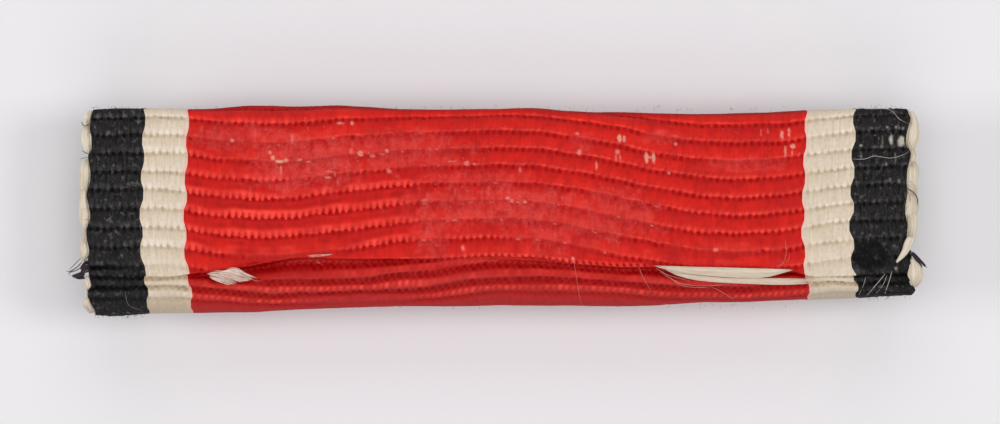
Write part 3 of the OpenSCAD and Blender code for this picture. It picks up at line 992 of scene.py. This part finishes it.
def add_piece(name, vertices, faces, finish, slot, fields, uv):
    """A mesh piece of the object, given in mm, that rides on its one body."""
    mesh = bpy.data.meshes.new(name)
    mesh.from_pydata((np.asarray(vertices) * MM).tolist(), [], np.asarray(faces).tolist())
    mesh.polygons.foreach_set("use_smooth", np.ones(len(mesh.polygons), bool))
    for field, values in fields.items():
        kind, part = ("FLOAT_VECTOR", "vector") if np.ndim(values) == 2 else ("FLOAT", "value")
        data = mesh.attributes.new(field, kind, "POINT").data
        data.foreach_set(part, np.ascontiguousarray(values, np.float32).ravel())
    corners = np.zeros(len(mesh.loops), int)
    mesh.loops.foreach_get("vertex_index", corners)
    layer = mesh.uv_layers.new(name="OFBake")
    layer.data.foreach_set("uv", np.ascontiguousarray(uv[corners], np.float32).ravel())
    mesh.materials.append(finish)
    piece = in_scene(name, mesh)
    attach(piece, "root")
    return piece


def unit(values):
    """Values spread over nearly 0 to 1, for a map."""
    low, high = values.min(), values.max()
    return 0.004 + 0.992 * (values - low) / (high - low)


def map_of(one, other):
    """A map of a piece, from two measures of its vertices."""
    return np.stack([unit(one), unit(other)], axis=1)


def on_cloth(u, v):
    """Places on the flat cloth or along a strand, for the finishes' noise."""
    u, v = np.ravel(u), np.ravel(v)
    return np.stack([u, v, np.zeros_like(u)], axis=1)


def grid_faces(columns, rows):
    """Quads of a grid whose vertices are numbered down each column, facing out."""
    i, j = np.meshgrid(np.arange(columns - 1), np.arange(rows - 1), indexing="ij")
    a = (i * rows + j).ravel()
    return np.stack([a, a + 1, a + rows + 1, a + rows], axis=1)


def stripe_pieces(finishes):
    """The cloth's outer face: a piece for each stripe, and the red field's back and foot apart."""
    pieces = {}
    for number, stripe in enumerate(STRIPES):
        cloth = woven(BORDERS[number], BORDERS[number + 1], YARNS[stripe.finish])
        columns, rows = cloth.way.shape
        faces = grid_faces(columns, rows)
        row = faces[:, 0] % rows
        parts = {stripe.name: row >= 0}
        if stripe.name == "red_field":
            top, foot, back = [ZONE_STARTS[name] for name in ("top_bend", "lower_front", "foot_bend")]
            parts = {"red_field": (row >= top) & (row < foot),
                     "red_foot": (row >= foot) & (row < back),
                     "red_back": (row < top) | (row >= back)}
        points = np.stack([cloth.x.ravel(), cloth.y.ravel(), cloth.z.ravel()], axis=1)
        place = on_cloth(cloth.u, cloth.way)
        even_column = np.repeat(np.arange(columns), rows)
        for name, chosen in parts.items():
            used, renumbered = np.unique(faces[chosen], return_inverse=True)
            fields = {key: value.ravel()[used] for key, value in cloth.fields.items()}
            fields["weave_place"] = place[used]
            pieces[name] = add_piece(name, points[used], renumbered.reshape(-1, 4),
                                     finishes[stripe.finish], stripe.finish + "_weave", fields,
                                     map_of(even_column[used], place[used, 1]))
    return pieces


# The cloth's inner face takes every third point of the way. Its edges close the two ends: these
# shares of the wall, counted from the outer face, bulge out by these parts of a mm, more and less
# as the way goes on.
INNER_COLUMNS = 140
INNER_STEP = 3
WALL_SHARES = np.array([0.06, 0.35, 0.65, 1.0])
WALL_BULGES = np.array([0.0, 0.06, 0.05, 0.0])
BULGE_WAVES = 3.6


def inner_face(finish, end_finish):
    """The cloth's inner face, and the narrow edges that close its two ends."""
    x = np.linspace(along(BORDERS[0].x), along(BORDERS[-1].x), INNER_COLUMNS)
    used = slice(ZONE_STARTS["upper_back"], ZONE_STARTS["lower_cut"] + 1, INNER_STEP)
    outer_y, outer_z = [values[:, used] for values in winding(x)[:2]]
    y, z, way = [values[:, used] for values in winding(x, WALL)]
    columns, rows = y.shape
    px = column_px(x)[:, None] + np.zeros_like(y)
    vertices = np.stack([np.broadcast_to(x[:, None], y.shape), y, z], axis=2).reshape(-1, 3)
    red = bump_at(px, *RED, 1.0)
    fields = {"red": red.ravel(), "cream": (bump_at(px, *PALE, 1.0) - red).ravel(),
              "weave_place": on_cloth(px / PX_PER_MM, way)}
    pieces = [add_piece("inner_face", vertices, grid_faces(columns, rows)[:, ::-1], finish,
                        "red_weave", fields,
                        map_of(px.ravel(), np.tile(np.arange(rows), columns)))]
    for name, side, column, turned in (("end_left", "left", 0, 1), ("end_right", "right", -1, -1)):
        line = np.stack([outer_y[column], outer_z[column]], axis=1)
        inner = np.stack([y[column], z[column]], axis=1)
        wall = np.stack([line + (inner - line) * share for share in WALL_SHARES])
        share = WALL_SHARES[:, None]
        edge = along(eased(SIDES, side, row_px(outer_y[column]), key="row", soften=SIDE_SOFTEN))
        bulge = WALL_BULGES[:, None] * (0.6 + 0.4 * np.cos(way[column] * BULGE_WAVES))
        end_x = edge * (1 - share) + x[column] * share - turned * bulge
        points = np.concatenate([end_x[:, :, None], wall], axis=2).reshape(-1, 3)
        deep = len(WALL_SHARES)
        number = np.repeat(np.arange(float(deep)), rows)
        fields = {key: np.zeros_like(number) for key in ("lit", "gloom", "bare", "yellow", "below")}
        fields["weave_place"] = on_cloth(number, np.tile(way[column], deep))
        pieces.append(add_piece(name, points, grid_faces(deep, rows)[:, ::-turned], end_finish,
                                "black_weave", fields,
                                map_of(number, np.tile(np.arange(rows), deep))))
    return pieces


# Loose fibres, threads and the looped ends of the cords. Places on the cloth's face are worked out
# at these pixel columns: from, to, and how far apart.

SURFACE_COLUMNS = (84, 922, 6.0)


class Surface:
    """Places on the cloth's outer face, found by pixel column and by the way down it in pixels."""

    def __init__(self):
        self.columns = np.arange(*SURFACE_COLUMNS)
        self.y, self.z, way = winding(along(self.columns))
        self.out_y, self.out_z = outward(self.y, self.z)
        self.down = MIDDLE_PX[1] + PX_PER_MM * way

    def nearest(self, px):
        return int(np.argmin(np.abs(self.columns - px)))

    def way_of(self, px, row):
        """How far down the way a row of the photograph lies."""
        column = self.nearest(px)
        return np.interp(row, row_px(self.y[column, SHOWN]), self.down[column, SHOWN])

    def place(self, px, q, lift):
        """The place in mm at a pixel column and a way down, lifted off the face."""
        column = self.nearest(px)
        y, z, out_y, out_z = [np.interp(q, self.down[column], values[column])
                              for values in (self.y, self.z, self.out_y, self.out_z)]
        return along(px), y + lift * out_y, z + lift * out_z

    def seen(self, px, row, lift):
        """The place in mm that lies at a pixel of the photograph."""
        x, _, z = self.place(px, self.way_of(px, row), lift)
        return x, across(row), z


def gone_along(line):
    """How far each point of a line lies along it."""
    steps = np.linalg.norm(np.diff(line, axis=0), axis=1)
    return np.concatenate([[0], np.cumsum(steps)])


CURVE_STEPS = 8


def resampled(points, count):
    """Even steps along a smooth line through the given points."""
    points = np.asarray(points, float)
    padded = np.vstack([2 * points[0] - points[1], points, 2 * points[-1] - points[-2]])
    line = []
    for a, b, c, d in zip(padded, padded[1:], padded[2:], padded[3:]):
        f = np.arange(CURVE_STEPS)[:, None] / CURVE_STEPS
        curve = 2 * b + (c - a) * f + (2 * a - 5 * b + 4 * c - d) * f ** 2
        line.append(0.5 * (curve + (3 * b - a - 3 * c + d) * f ** 3))
    line = np.vstack([*line, points[-1:]])
    gone = gone_along(line)
    steps = np.linspace(0, gone[-1], count)
    return np.stack([np.interp(steps, gone, values) for values in line.T], axis=1)


# Strands, with measures in mm: how many sides and steps they have, how thin they get, and how the
# looped ends of a pair of cords lie, sunk under the cloth's face and spread over two ribs. The
# loops stop so many pixels short of the cloth's cut ends.
SIDES_ROUND = 6
BUNCH_STEPS = 14
HAIR_STEPS = 16
FUZZ_STEPS = 7
THINNEST = 0.014
LOOP_STEPS = 9
LOOP_STRANDS = 5
LOOP_RADIUS = 0.075
LOOP_SUNK = -0.45
LOOP_ARCH = 0.2
LOOP_RIBS = (1.9, 0.1)
SHORT_OF_CUT = 20


class Strands:
    """Thin round strands gathered into one piece."""

    def __init__(self, surface, seed):
        self.surface = surface
        self.random = np.random.default_rng(seed)
        self.vertices, self.faces, self.uv = [], [], []
        self.fields = {"strand_place": [], "stain": [], "pink": [], "tone": []}

    def add(self, path, radii, stain=0.0, pink=0.0):
        """One strand along a path in mm, with a radius at each point."""
        path = np.asarray(path, float)
        ahead = np.gradient(path, axis=0)
        ahead /= np.linalg.norm(ahead, axis=1)[:, None] + 1e-9
        side = np.cross(ahead, (0.0, 0.0, 1.0))
        side /= np.linalg.norm(side, axis=1)[:, None] + 1e-9
        upper = np.cross(side, ahead)
        turn = np.arange(SIDES_ROUND + 1) / SIDES_ROUND
        angle = 2 * np.pi * turn
        ring = (np.cos(angle)[None, :, None] * side[:, None]
                + np.sin(angle)[None, :, None] * upper[:, None])
        points = path[:, None] + ring * np.asarray(radii)[:, None, None]

        def spread(values):
            """Values for the strand, its steps or its sides, at each of its points."""
            return np.broadcast_to(np.asarray(values, float), points.shape[:2]).ravel()

        first = sum(len(part) for part in self.vertices)
        turned = spread(angle * 0.05 + self.random.uniform(0, 50))
        values = (on_cloth(turned, spread(gone_along(path)[:, None])),
                  spread(np.reshape(stain, (-1, 1))), spread(pink), spread(self.random.uniform(-1, 1)))
        for rows, value in zip(self.fields.values(), values):
            rows.append(value)
        map_row = spread(np.linspace(0.01, 0.99, len(path))[:, None])
        self.uv.append(np.stack([spread(len(self.uv) + 0.05 + 0.9 * turn), map_row], axis=1))
        self.vertices.append(points.reshape(-1, 3))
        self.faces.append(first + grid_faces(len(path), SIDES_ROUND + 1)[:, ::-1])

    def bunch(self, row):
        """Strands spread between two lines of the photograph."""
        one, other = resampled(row.one, BUNCH_STEPS), resampled(row.other, BUNCH_STEPS)
        width = np.linalg.norm(one - other, axis=1) / PX_PER_MM
        f = np.linspace(0, 1, BUNCH_STEPS)
        taper = np.clip(np.sin(np.pi * np.linspace(0.04, 0.96, BUNCH_STEPS)) * 2.2, 0.15, 1)
        for number in range(row.strands):
            share = (number + 0.5 + self.random.uniform(-0.3, 0.3)) / row.strands
            start, end = self.random.uniform(0, row.ragged), 1 - self.random.uniform(0, row.ragged)
            flat = one * (1 - share) + other * share
            spot = start + (end - start) * f
            flat = np.stack([np.interp(spot, f, values) for values in flat.T], axis=1)
            arch = np.sqrt(1 - (2 * share - 1) ** 2) * np.sin(np.pi * spot) ** 0.5
            lift = row.lift + row.puff * arch + self.random.uniform(-0.02, 0.02)
            sway, bend = self.random.normal(0, row.ragged * 6, 2)
            flat[:, 1] += sway * np.sin(np.pi * spot) * (f - 0.5) + bend * 0.5 * (f - 0.5) ** 3
            path = [self.surface.seen(px, py, high) for (px, py), high in zip(flat, lift)]
            radii = np.maximum(np.interp(spot, f, width) / row.strands * row.cover, THINNEST)
            stain = row.head_stain * (1 - f) ** 2 + row.foot_stain * f ** 2
            self.add(path, radii * taper, stain, row.pink * self.random.uniform(0.2, 1.6))

    def loop(self, px, out, start, end):
        """A looped end of a pair of cords, from one place on the way round to another."""
        f = np.linspace(0, 1, LOOP_STEPS)
        bulge = np.sin(np.pi * f) ** 0.6
        for number in range(LOOP_STRANDS):
            share = (number + 0.5) / LOOP_STRANDS
            reach = out * (share * bulge) * self.random.uniform(0.9, 1.1)
            q = start + (end - start) * (0.5 + (f - 0.5) * (0.55 + 0.45 * share))
            lift = LOOP_SUNK + LOOP_ARCH * np.sin(np.pi * share) * bulge
            path = [self.surface.place(px + r, way, high) for r, way, high in zip(reach, q, lift)]
            self.add(path, LOOP_RADIUS * (0.4 + 0.6 * bulge), 0.3 * self.random.uniform(0, 1) ** 2)

    def loops(self, row):
        """The looped ends of the cords that the photograph doesn't show, two ribs apart."""
        shown = [self.surface.way_of(row.column, edge) for edge in (LOOPS_FROM, LOOPS_TO)]
        whole = self.surface.down[self.surface.nearest(row.column)]
        pair = 2 * RIB_PX
        places = [*np.arange(shown[0], whole[0] + SHORT_OF_CUT, -pair),
                  *np.arange(shown[1] + pair, whole[-1] - SHORT_OF_CUT, pair)]
        for place in places:
            self.loop(row.column, row.out, *[place - ribs * RIB_PX for ribs in LOOP_RIBS])

    def hair(self, row):
        """A single hair or thread through points of the photograph."""
        line = resampled(row.points, HAIR_STEPS)
        path = [self.surface.seen(px, py, row.lift) for px, py in line]
        f = np.linspace(0, 1, HAIR_STEPS)
        thin = np.clip(f * 8, 0.4, 1) * np.clip((1 - f) * 5, 0.3, 1)
        self.add(path, row.thickness / 2 * thin, pink=row.pink)

    def fuzz(self, row):
        """Short curled fibres strewn over a part of the photograph."""
        f = np.linspace(-0.5, 0.5, FUZZ_STEPS)
        for _ in range(row.count):
            px = self.random.uniform(row.left, row.right)
            py = self.random.uniform(row.top, row.foot)
            turn = self.random.uniform(0, 2 * np.pi)
            curl = self.random.normal(0, 1.4)
            length = row.length * PX_PER_MM * self.random.uniform(0.4, 1.3)
            line_x = px + length * f * np.cos(turn + curl * f)
            line_y = py + length * f * np.sin(turn + curl * f)
            high = row.lift + 0.03 * (1 - 4 * f ** 2)
            path = [self.surface.seen(*spot) for spot in zip(line_x, line_y, high)]
            radius = row.thickness / 2 * self.random.uniform(0.6, 1.2)
            self.add(path, radius * (1.05 - 1.6 * np.abs(f)), pink=row.pink)

    def piece(self, name, finish, slot):
        """The strands gathered so far as one piece."""
        uv = np.vstack(self.uv)
        uv[:, 0] = 0.002 + 0.996 * uv[:, 0] / len(self.uv)
        fields = {field: np.concatenate(rows) for field, rows in self.fields.items()}
        return add_piece(name, np.vstack(self.vertices), np.vstack(self.faces), finish, slot,
                         fields, uv)


def loose_threads(finishes):
    """The frayed weft in the front, the looped ends of the cords, the tufts, and the hairs."""
    surface = Surface()
    pieces = []
    for row in STRAND_PIECES:
        strands = Strands(surface, row.seed)
        for bunch in row.bunches:
            strands.bunch(bunch)
        for edge in row.looped:
            strands.loops(edge)
        for hair in row.hairs:
            strands.hair(hair)
        for patch in row.fuzz:
            strands.fuzz(patch)
        pieces.append(strands.piece(row.name, finishes[row.finish], row.slot))
    return pieces


# Finishes

class Wire:
    """A socket that carries a value. An expression on it adds Math nodes."""

    def __init__(self, finish, socket):
        self.finish = finish
        self.socket = socket

    def joined(self, operation, *values):
        return self.finish.node("ShaderNodeMath", {"operation": operation}, dict(enumerate(values)))

    def __add__(self, other):
        return self.joined("ADD", self, other)

    def __radd__(self, other):
        return self.joined("ADD", other, self)

    def __sub__(self, other):
        return self.joined("SUBTRACT", self, other)

    def __rsub__(self, other):
        return self.joined("SUBTRACT", other, self)

    def __mul__(self, other):
        return self.joined("MULTIPLY", self, other)

    def __rmul__(self, other):
        return self.joined("MULTIPLY", other, self)


class Finish:
    """A material while it is written. Its nodes all come from one method."""

    def __init__(self, name):
        self.material = bpy.data.materials.new(name)
        self.material.use_nodes = True
        self.tree = self.material.node_tree
        self.tree.nodes.clear()

    def node(self, kind, settings, sockets, output=0):
        """A node of a kind: its settings first, then the values or links of its sockets."""
        made = self.tree.nodes.new(kind)
        for name, value in settings.items():
            setattr(made, name, value)
        for name, value in sockets.items():
            if isinstance(value, Wire):
                self.tree.links.new(value.socket, made.inputs[name])
            else:
                made.inputs[name].default_value = value
        return Wire(self, made.outputs[output]) if made.outputs else None

    def field(self, name, output="Fac"):
        return self.node("ShaderNodeAttribute", {"attribute_name": name}, {}, output)

    def noise(self, place, scale, detail=2.0):
        """Noise of a size: so many waves a mm across, down and through."""
        spread = self.node("ShaderNodeVectorMath", {"operation": "MULTIPLY"}, {0: place, 1: scale})
        return self.node("ShaderNodeTexNoise", {}, {"Vector": spread, "Scale": 1.0, "Detail": detail},
                         "Fac")

    def laid(self, base, *coats):
        """A base colour with others laid over it, each with how far it covers what lies under it."""
        settings = {"data_type": "RGBA", "clamp_factor": True}
        under = colour(base)
        for amount, coat in coats:
            under = self.node("ShaderNodeMix", settings, {0: amount, 6: under, 7: colour(coat)}, 2)
        return under

    def between(self, value, start, end):
        return self.node("ShaderNodeMapRange", {"clamp": True},
                         {"Value": value, "From Min": start, "From Max": end})

    def bump(self, height, distance, strength):
        return self.node("ShaderNodeBump", {}, {"Height": height, "Distance": distance,
                                                "Strength": strength})

    def done(self, sockets):
        """The material, with these values or links on its shader."""
        shader = self.node("ShaderNodeBsdfPrincipled", {}, sockets)
        self.node("ShaderNodeOutputMaterial", {}, {"Surface": shader})
        return self.material


def colour(rgb):
    """A linear colour from its 0 to 255 screen values, or one that a node makes, as it is."""
    if isinstance(rgb, Wire):
        return rgb
    shares = [value / 255 for value in rgb]
    return (*[s / 12.92 if s <= 0.04045 else ((s + 0.055) / 1.055) ** 2.4 for s in shares], 1.0)


# Filaments of silk along the warp: waves a mm across, down and through
SILK = (9.0, 0.8, 1.0)


def red_weave():
    """Red silk over cotton cords: painted highlight at the floats' tips and crests, painted shade in
    the valleys and on the top bend, dusty and flecked where it is rubbed."""
    f = Finish("red_weave")
    place = f.field("weave_place", "Vector")
    filaments = f.noise(place, SILK, 3.0)
    mottle = f.noise(place, (2.6, 2.0, 1.0), 4.0)
    blotches = f.noise(place, (0.35, 0.7, 1.0), 3.0)
    grain = f.noise(place, (7.0, 7.0, 1.0), 5.0)
    # Random tone of the dye, with a painted sheen towards the floats' tips and painted shade under the
    # eave above them
    shade = filaments * 0.25 + mottle * 0.4 + blotches * 0.35 + f.field("tone") * 0.03
    shade = shade + f.field("sheen") * 0.08 - f.field("eave") * 0.1 - 0.02
    dusty = f.field("dusty")
    powder = f.between(mottle * 0.55 + grain * 0.45, 0.4, 0.62)
    pale = f.laid((242, 164, 154), (f.field("yellow"), (226, 186, 150)))
    surface = f.laid(
        (178, 27, 27),
        (f.between(shade, 0.38, 0.64), (218, 36, 29)),
        # Deeper red below the lip, and a duller crimson at the foot
        (f.field("below") * 0.5, (152, 20, 24)),
        (f.field("dull") * (filaments * 1.2 + mottle * 0.8 - 0.35), (186, 44, 46)),
        # Painted highlight on the tips, crests and beads, then painted shade in the pockets, gaps and
        # grooves
        (f.field("lit") * (0.6 + mottle * 0.7), (255, 76, 65)),
        (f.field("gloom") * (0.6 + mottle * 0.5), (150, 0, 3)),
        # Painted shade on the top bend
        (f.field("rim_shade") * 0.75, (142, 16, 18)),
        (dusty * powder * 0.4, (206, 96, 92)),
        (f.field("seam") * (0.35 + grain * 0.5), (164, 48, 46)),
        (f.field("fleck") * (0.5 + grain * 0.7), (228, 142, 134)),
        (f.field("bare") * (0.4 + grain * 0.7), pale),
    )
    height = filaments * 0.6 + f.noise(place, (50.0, 8.0, 1.0)) * 0.4
    return f.done({
        "Base Color": surface,
        "Roughness": dusty * 0.2 + f.field("steep") * 0.4 + 0.45,
        "Specular IOR Level": 0.45,
        "Specular Tint": (1.0, 0.3, 0.26, 1.0),
        "Normal": f.bump(height, 0.00002, 0.5),
    })


def cream_weave():
    """Cream silk: painted nearly white along the floats' tips as a highlight, painted tan in the
    pockets as shade, tan towards the foot, with some of the red's dye bled into it."""
    f = Finish("cream_weave")
    place = f.field("weave_place", "Vector")
    filaments = f.noise(place, SILK, 3.0)
    soil = f.noise(place, (0.8, 1.0, 1.0), 4.0)
    grain = f.noise(place, (6.0, 6.0, 1.0), 4.0)
    # Streaks of the silk, with a painted sheen towards the tips
    streaks = filaments * 0.6 + grain * 0.4 + f.field("sheen") * 0.08 - 0.04
    flush = f.between(grain, 0.58, 0.76) * 0.35 + f.field("bled") * (grain * 1.6 - 0.3)
    surface = f.laid(
        (204, 188, 166),
        (f.between(streaks, 0.36, 0.64), (226, 211, 191)),
        # Painted highlight along the tips
        (f.field("lit") * 0.65, (250, 238, 226)),
        (f.field("below") * 0.15 + f.field("dull") * 0.35, (182, 162, 134)),
        # Painted shade in the pockets and grooves
        (f.field("gloom") * (0.4 + grain * 0.7), (166, 142, 112)),
        (f.between(soil, 0.48, 0.75) * 0.35, (202, 180, 148)),
        (flush, (240, 182, 172)),
        (f.field("fleck") * 0.5, (244, 226, 208)),
    )
    return f.done({
        "Base Color": surface,
        "Roughness": 0.55,
        "Specular IOR Level": 0.4,
        "Specular Tint": (1.0, 0.92, 0.84, 1.0),
        "Normal": f.bump(filaments * 0.7 + grain * 0.5, 0.00002, 0.7),
    })


def black_weave():
    """Black cotton, matte and linty, worn smooth in places, with a few floats missing. Its lint is
    painted lighter as a highlight on the lower parts of the ribs, and painted shade darkens its
    valleys.
    """
    f = Finish("black_weave")
    place = f.field("weave_place", "Vector")
    filaments = f.noise(place, (9.0, 2.2, 1.0), 4.0)
    lint = f.noise(place, (4.2, 3.4, 1.0), 8.0)
    drift = f.noise(place, (0.8, 1.2, 1.0), 2.0)
    # Lint laid where the painted highlight lies: partly real fuzz, partly painted highlight
    fuzz_and_highlight = f.field("lit") * (1 - f.field("below") * 0.75)
    pale = f.laid((214, 206, 198), (f.field("yellow"), (220, 206, 172)))
    surface = f.laid(
        (22, 21, 22),
        (f.between(filaments, 0.3, 0.7), (50, 48, 49)),
        (fuzz_and_highlight * f.between(lint, 0.32, 0.62) * 0.8, (100, 96, 95)),
        (f.between(lint, 0.56, 0.72) * f.between(drift, 0.3, 0.62) * 0.7, (120, 116, 114)),
        # Painted shade in the valleys, pockets and shade patches
        (f.field("gloom") * 0.95, (11, 10, 11)),
        (f.field("bare") * (0.2 + lint * 0.9), pale),
    )
    return f.done({
        "Base Color": surface,
        "Roughness": 0.9,
        "Specular IOR Level": 0.12,
        "Normal": f.bump(filaments + lint * 0.8, 0.00006, 0.9),
    })


def inside_weave():
    """The ribbon's inner face, in its stripes' colours but dull, with painted shade between its ribs.
    """
    f = Finish("inside_weave")
    place = f.field("weave_place", "Vector")
    filaments = f.noise(place, SILK, 3.0)
    ribs = f.node("ShaderNodeTexWave", {"bands_direction": "Y"},
                  {"Vector": place, "Scale": 0.37, "Distortion": 0.6}, "Fac")
    surface = f.laid(
        (30, 29, 30),
        (f.field("red"), (166, 26, 26)),
        (f.field("cream"), (196, 180, 156)),
        (f.between(filaments, 0.3, 0.7) * 0.3, (120, 104, 96)),
        # Painted shade between the ribs, where the bump is low
        ((1 - ribs) * 0.45, (48, 20, 20)),
    )
    return f.done({
        "Base Color": surface,
        "Roughness": 0.8,
        "Specular IOR Level": 0.25,
        "Normal": f.bump(ribs, 0.0001, 0.6),
    })


def fibres(name, dark, light):
    """Loose cotton or silk fibres, streaked along their length, browner in places, with a blush of dye.
    """
    f = Finish(name)
    place = f.field("strand_place", "Vector")
    streaks = f.noise(place, (5.0, 1.4, 1.0), 3.0)
    spots = f.noise(place, (3.0, 3.0, 1.0), 3.0)
    surface = f.laid(
        dark,
        (f.between(streaks * 0.7 + f.field("tone") * 0.12 + 0.14, 0.3, 0.7), light),
        (f.field("stain") * f.between(spots, 0.2, 0.6), (150, 122, 84)),
        (f.field("pink") * f.between(spots, 0.3, 0.7), (222, 130, 120)),
    )
    return f.done({
        "Base Color": surface,
        "Roughness": 0.65,
        "Specular IOR Level": 0.25,
        "Normal": f.bump(streaks, 0.00003, 0.6),
    })


def handled_metal():
    """Brass plate and pin, brushed along their length and dulled by handling. Its noise is laid in
    metres."""
    f = Finish("handled_metal")
    place = f.node("ShaderNodeTexCoord", {}, {}, "Object")
    brush = f.noise(place, (300.0, 6000.0, 6000.0), 3.0)
    tarnish = f.noise(place, (450.0, 450.0, 450.0), 5.0)
    surface = f.laid(
        (176, 146, 88),
        (f.between(brush, 0.3, 0.7), (206, 178, 118)),
        (f.between(tarnish, 0.5, 0.75), (120, 92, 56)),
    )
    return f.done({
        "Base Color": surface,
        "Metallic": 1.0,
        "Roughness": f.between(tarnish, 0.3, 0.8) * 0.3 + 0.32,
        "Normal": f.bump(brush, 0.00002, 0.4),
    })


# Camera, floor and light. The camera's height and its sensor's width are in mm, and the rest is in
# metres and watts, with the direction towards each light.

CAMERA_HEIGHT = 400.0
SENSOR_WIDTH = 36.0
NEAREST_SEEN = 0.01
FLOOR_HALF = 1.0
SKY = 0.17
LIGHTS = table(
    "name towards_x towards_y towards_z distance size power diffuse gloss",
    ("overhead", 0.02, -0.04, 1.0, 0.6, 0.38, 1.08, True, False),
    ("left", -0.80, 0.02, 0.55, 0.5, 0.16, 0.66, True, True),
    ("right", 0.58, 0.04, 0.80, 0.5, 0.16, 0.62, True, False),
    ("behind", 0.00, 0.75, 0.66, 0.5, 0.34, 0.55, True, False),
    ("before", 0.00, -0.72, 0.70, 0.5, 0.34, 0.46, True, False),
    ("low_front", 0.25, -0.80, 0.60, 0.5, 0.14, 0.90, False, True),
)


def set_camera():
    """Straight above the bar, framed as the photograph is."""
    lens = bpy.data.cameras.new("camera")
    lens.sensor_width = SENSOR_WIDTH
    lens.lens = SENSOR_WIDTH * (CAMERA_HEIGHT - FRONT) * PX_PER_MM / PHOTO_SIZE[0]
    lens.clip_start = NEAREST_SEEN
    camera = in_scene("camera", lens)
    middle_x, middle_y = along(PHOTO_SIZE[0] / 2), across(PHOTO_SIZE[1] / 2)
    camera.location = (middle_x * MM, middle_y * MM, CAMERA_HEIGHT * MM)
    bpy.context.scene.camera = camera


def pale_floor():
    """A plain pale floor under the bar."""
    finish = Finish("pale_floor").done({
        "Base Color": colour((229, 227, 230)),
        "Roughness": 0.8,
        "Specular IOR Level": 0.0,
        "Emission Color": (1.0, 0.98, 1.0, 1.0),
        "Emission Strength": 0.045,
    })
    mesh = bpy.data.meshes.new("floor")
    corners = [(x * FLOOR_HALF, y * FLOOR_HALF, 0) for x, y in ((-1, -1), (1, -1), (1, 1), (-1, 1))]
    mesh.from_pydata(corners, [], [(0, 1, 2, 3)])
    mesh.materials.append(finish)
    in_scene("floor", mesh)


def set_light():
    """Plain studio light: an even sky, wide soft lights over the bar and on four sides of it, and a
    small low one in front that only makes the silk shine."""
    world = bpy.data.worlds.new("studio")
    world.use_nodes = True
    sky = world.node_tree.nodes["Background"].inputs
    sky["Color"].default_value = (1.0, 1.0, 1.0, 1.0)
    sky["Strength"].default_value = SKY
    bpy.context.scene.world = world
    for row in LIGHTS:
        data = bpy.data.lights.new(row.name, "AREA")
        data.size = row.size
        data.energy = row.power
        light = in_scene(row.name, data)
        direction = Vector((row.towards_x, row.towards_y, row.towards_z)).normalized()
        light.location = direction * row.distance
        light.rotation_euler = direction.to_track_quat("Z", "Y").to_euler()
        light.visible_diffuse = row.diffuse
        light.visible_glossy = row.gloss
    bpy.context.scene.view_settings.view_transform = "Standard"


# The scene

set_camera()
set_light()
pale_floor()

weaves = {"red": red_weave(), "cream": cream_weave(), "black": black_weave()}
strand_finishes = {
    "cotton": fibres("cotton_fibre", (204, 190, 168), (238, 228, 210)),
    "bleached": fibres("bleached_fibre", (206, 190, 174), (248, 236, 224)),
    "dark": fibres("dark_fibre", (30, 24, 32), (66, 56, 66)),
    "pale": fibres("pale_hair", (166, 160, 156), (206, 200, 194)),
    "red": fibres("red_fibre", (150, 34, 36), (196, 60, 58)),
}

outer_pieces = stripe_pieces(weaves)
cloth, *end_edges = inner_face(inside_weave(), weaves["black"])
threads = loose_threads(strand_finishes)
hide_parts("ribbon")

pin_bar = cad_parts["pin_bar"]
pin_bar.data.materials.clear()
pin_bar.data.materials.append(handled_metal())
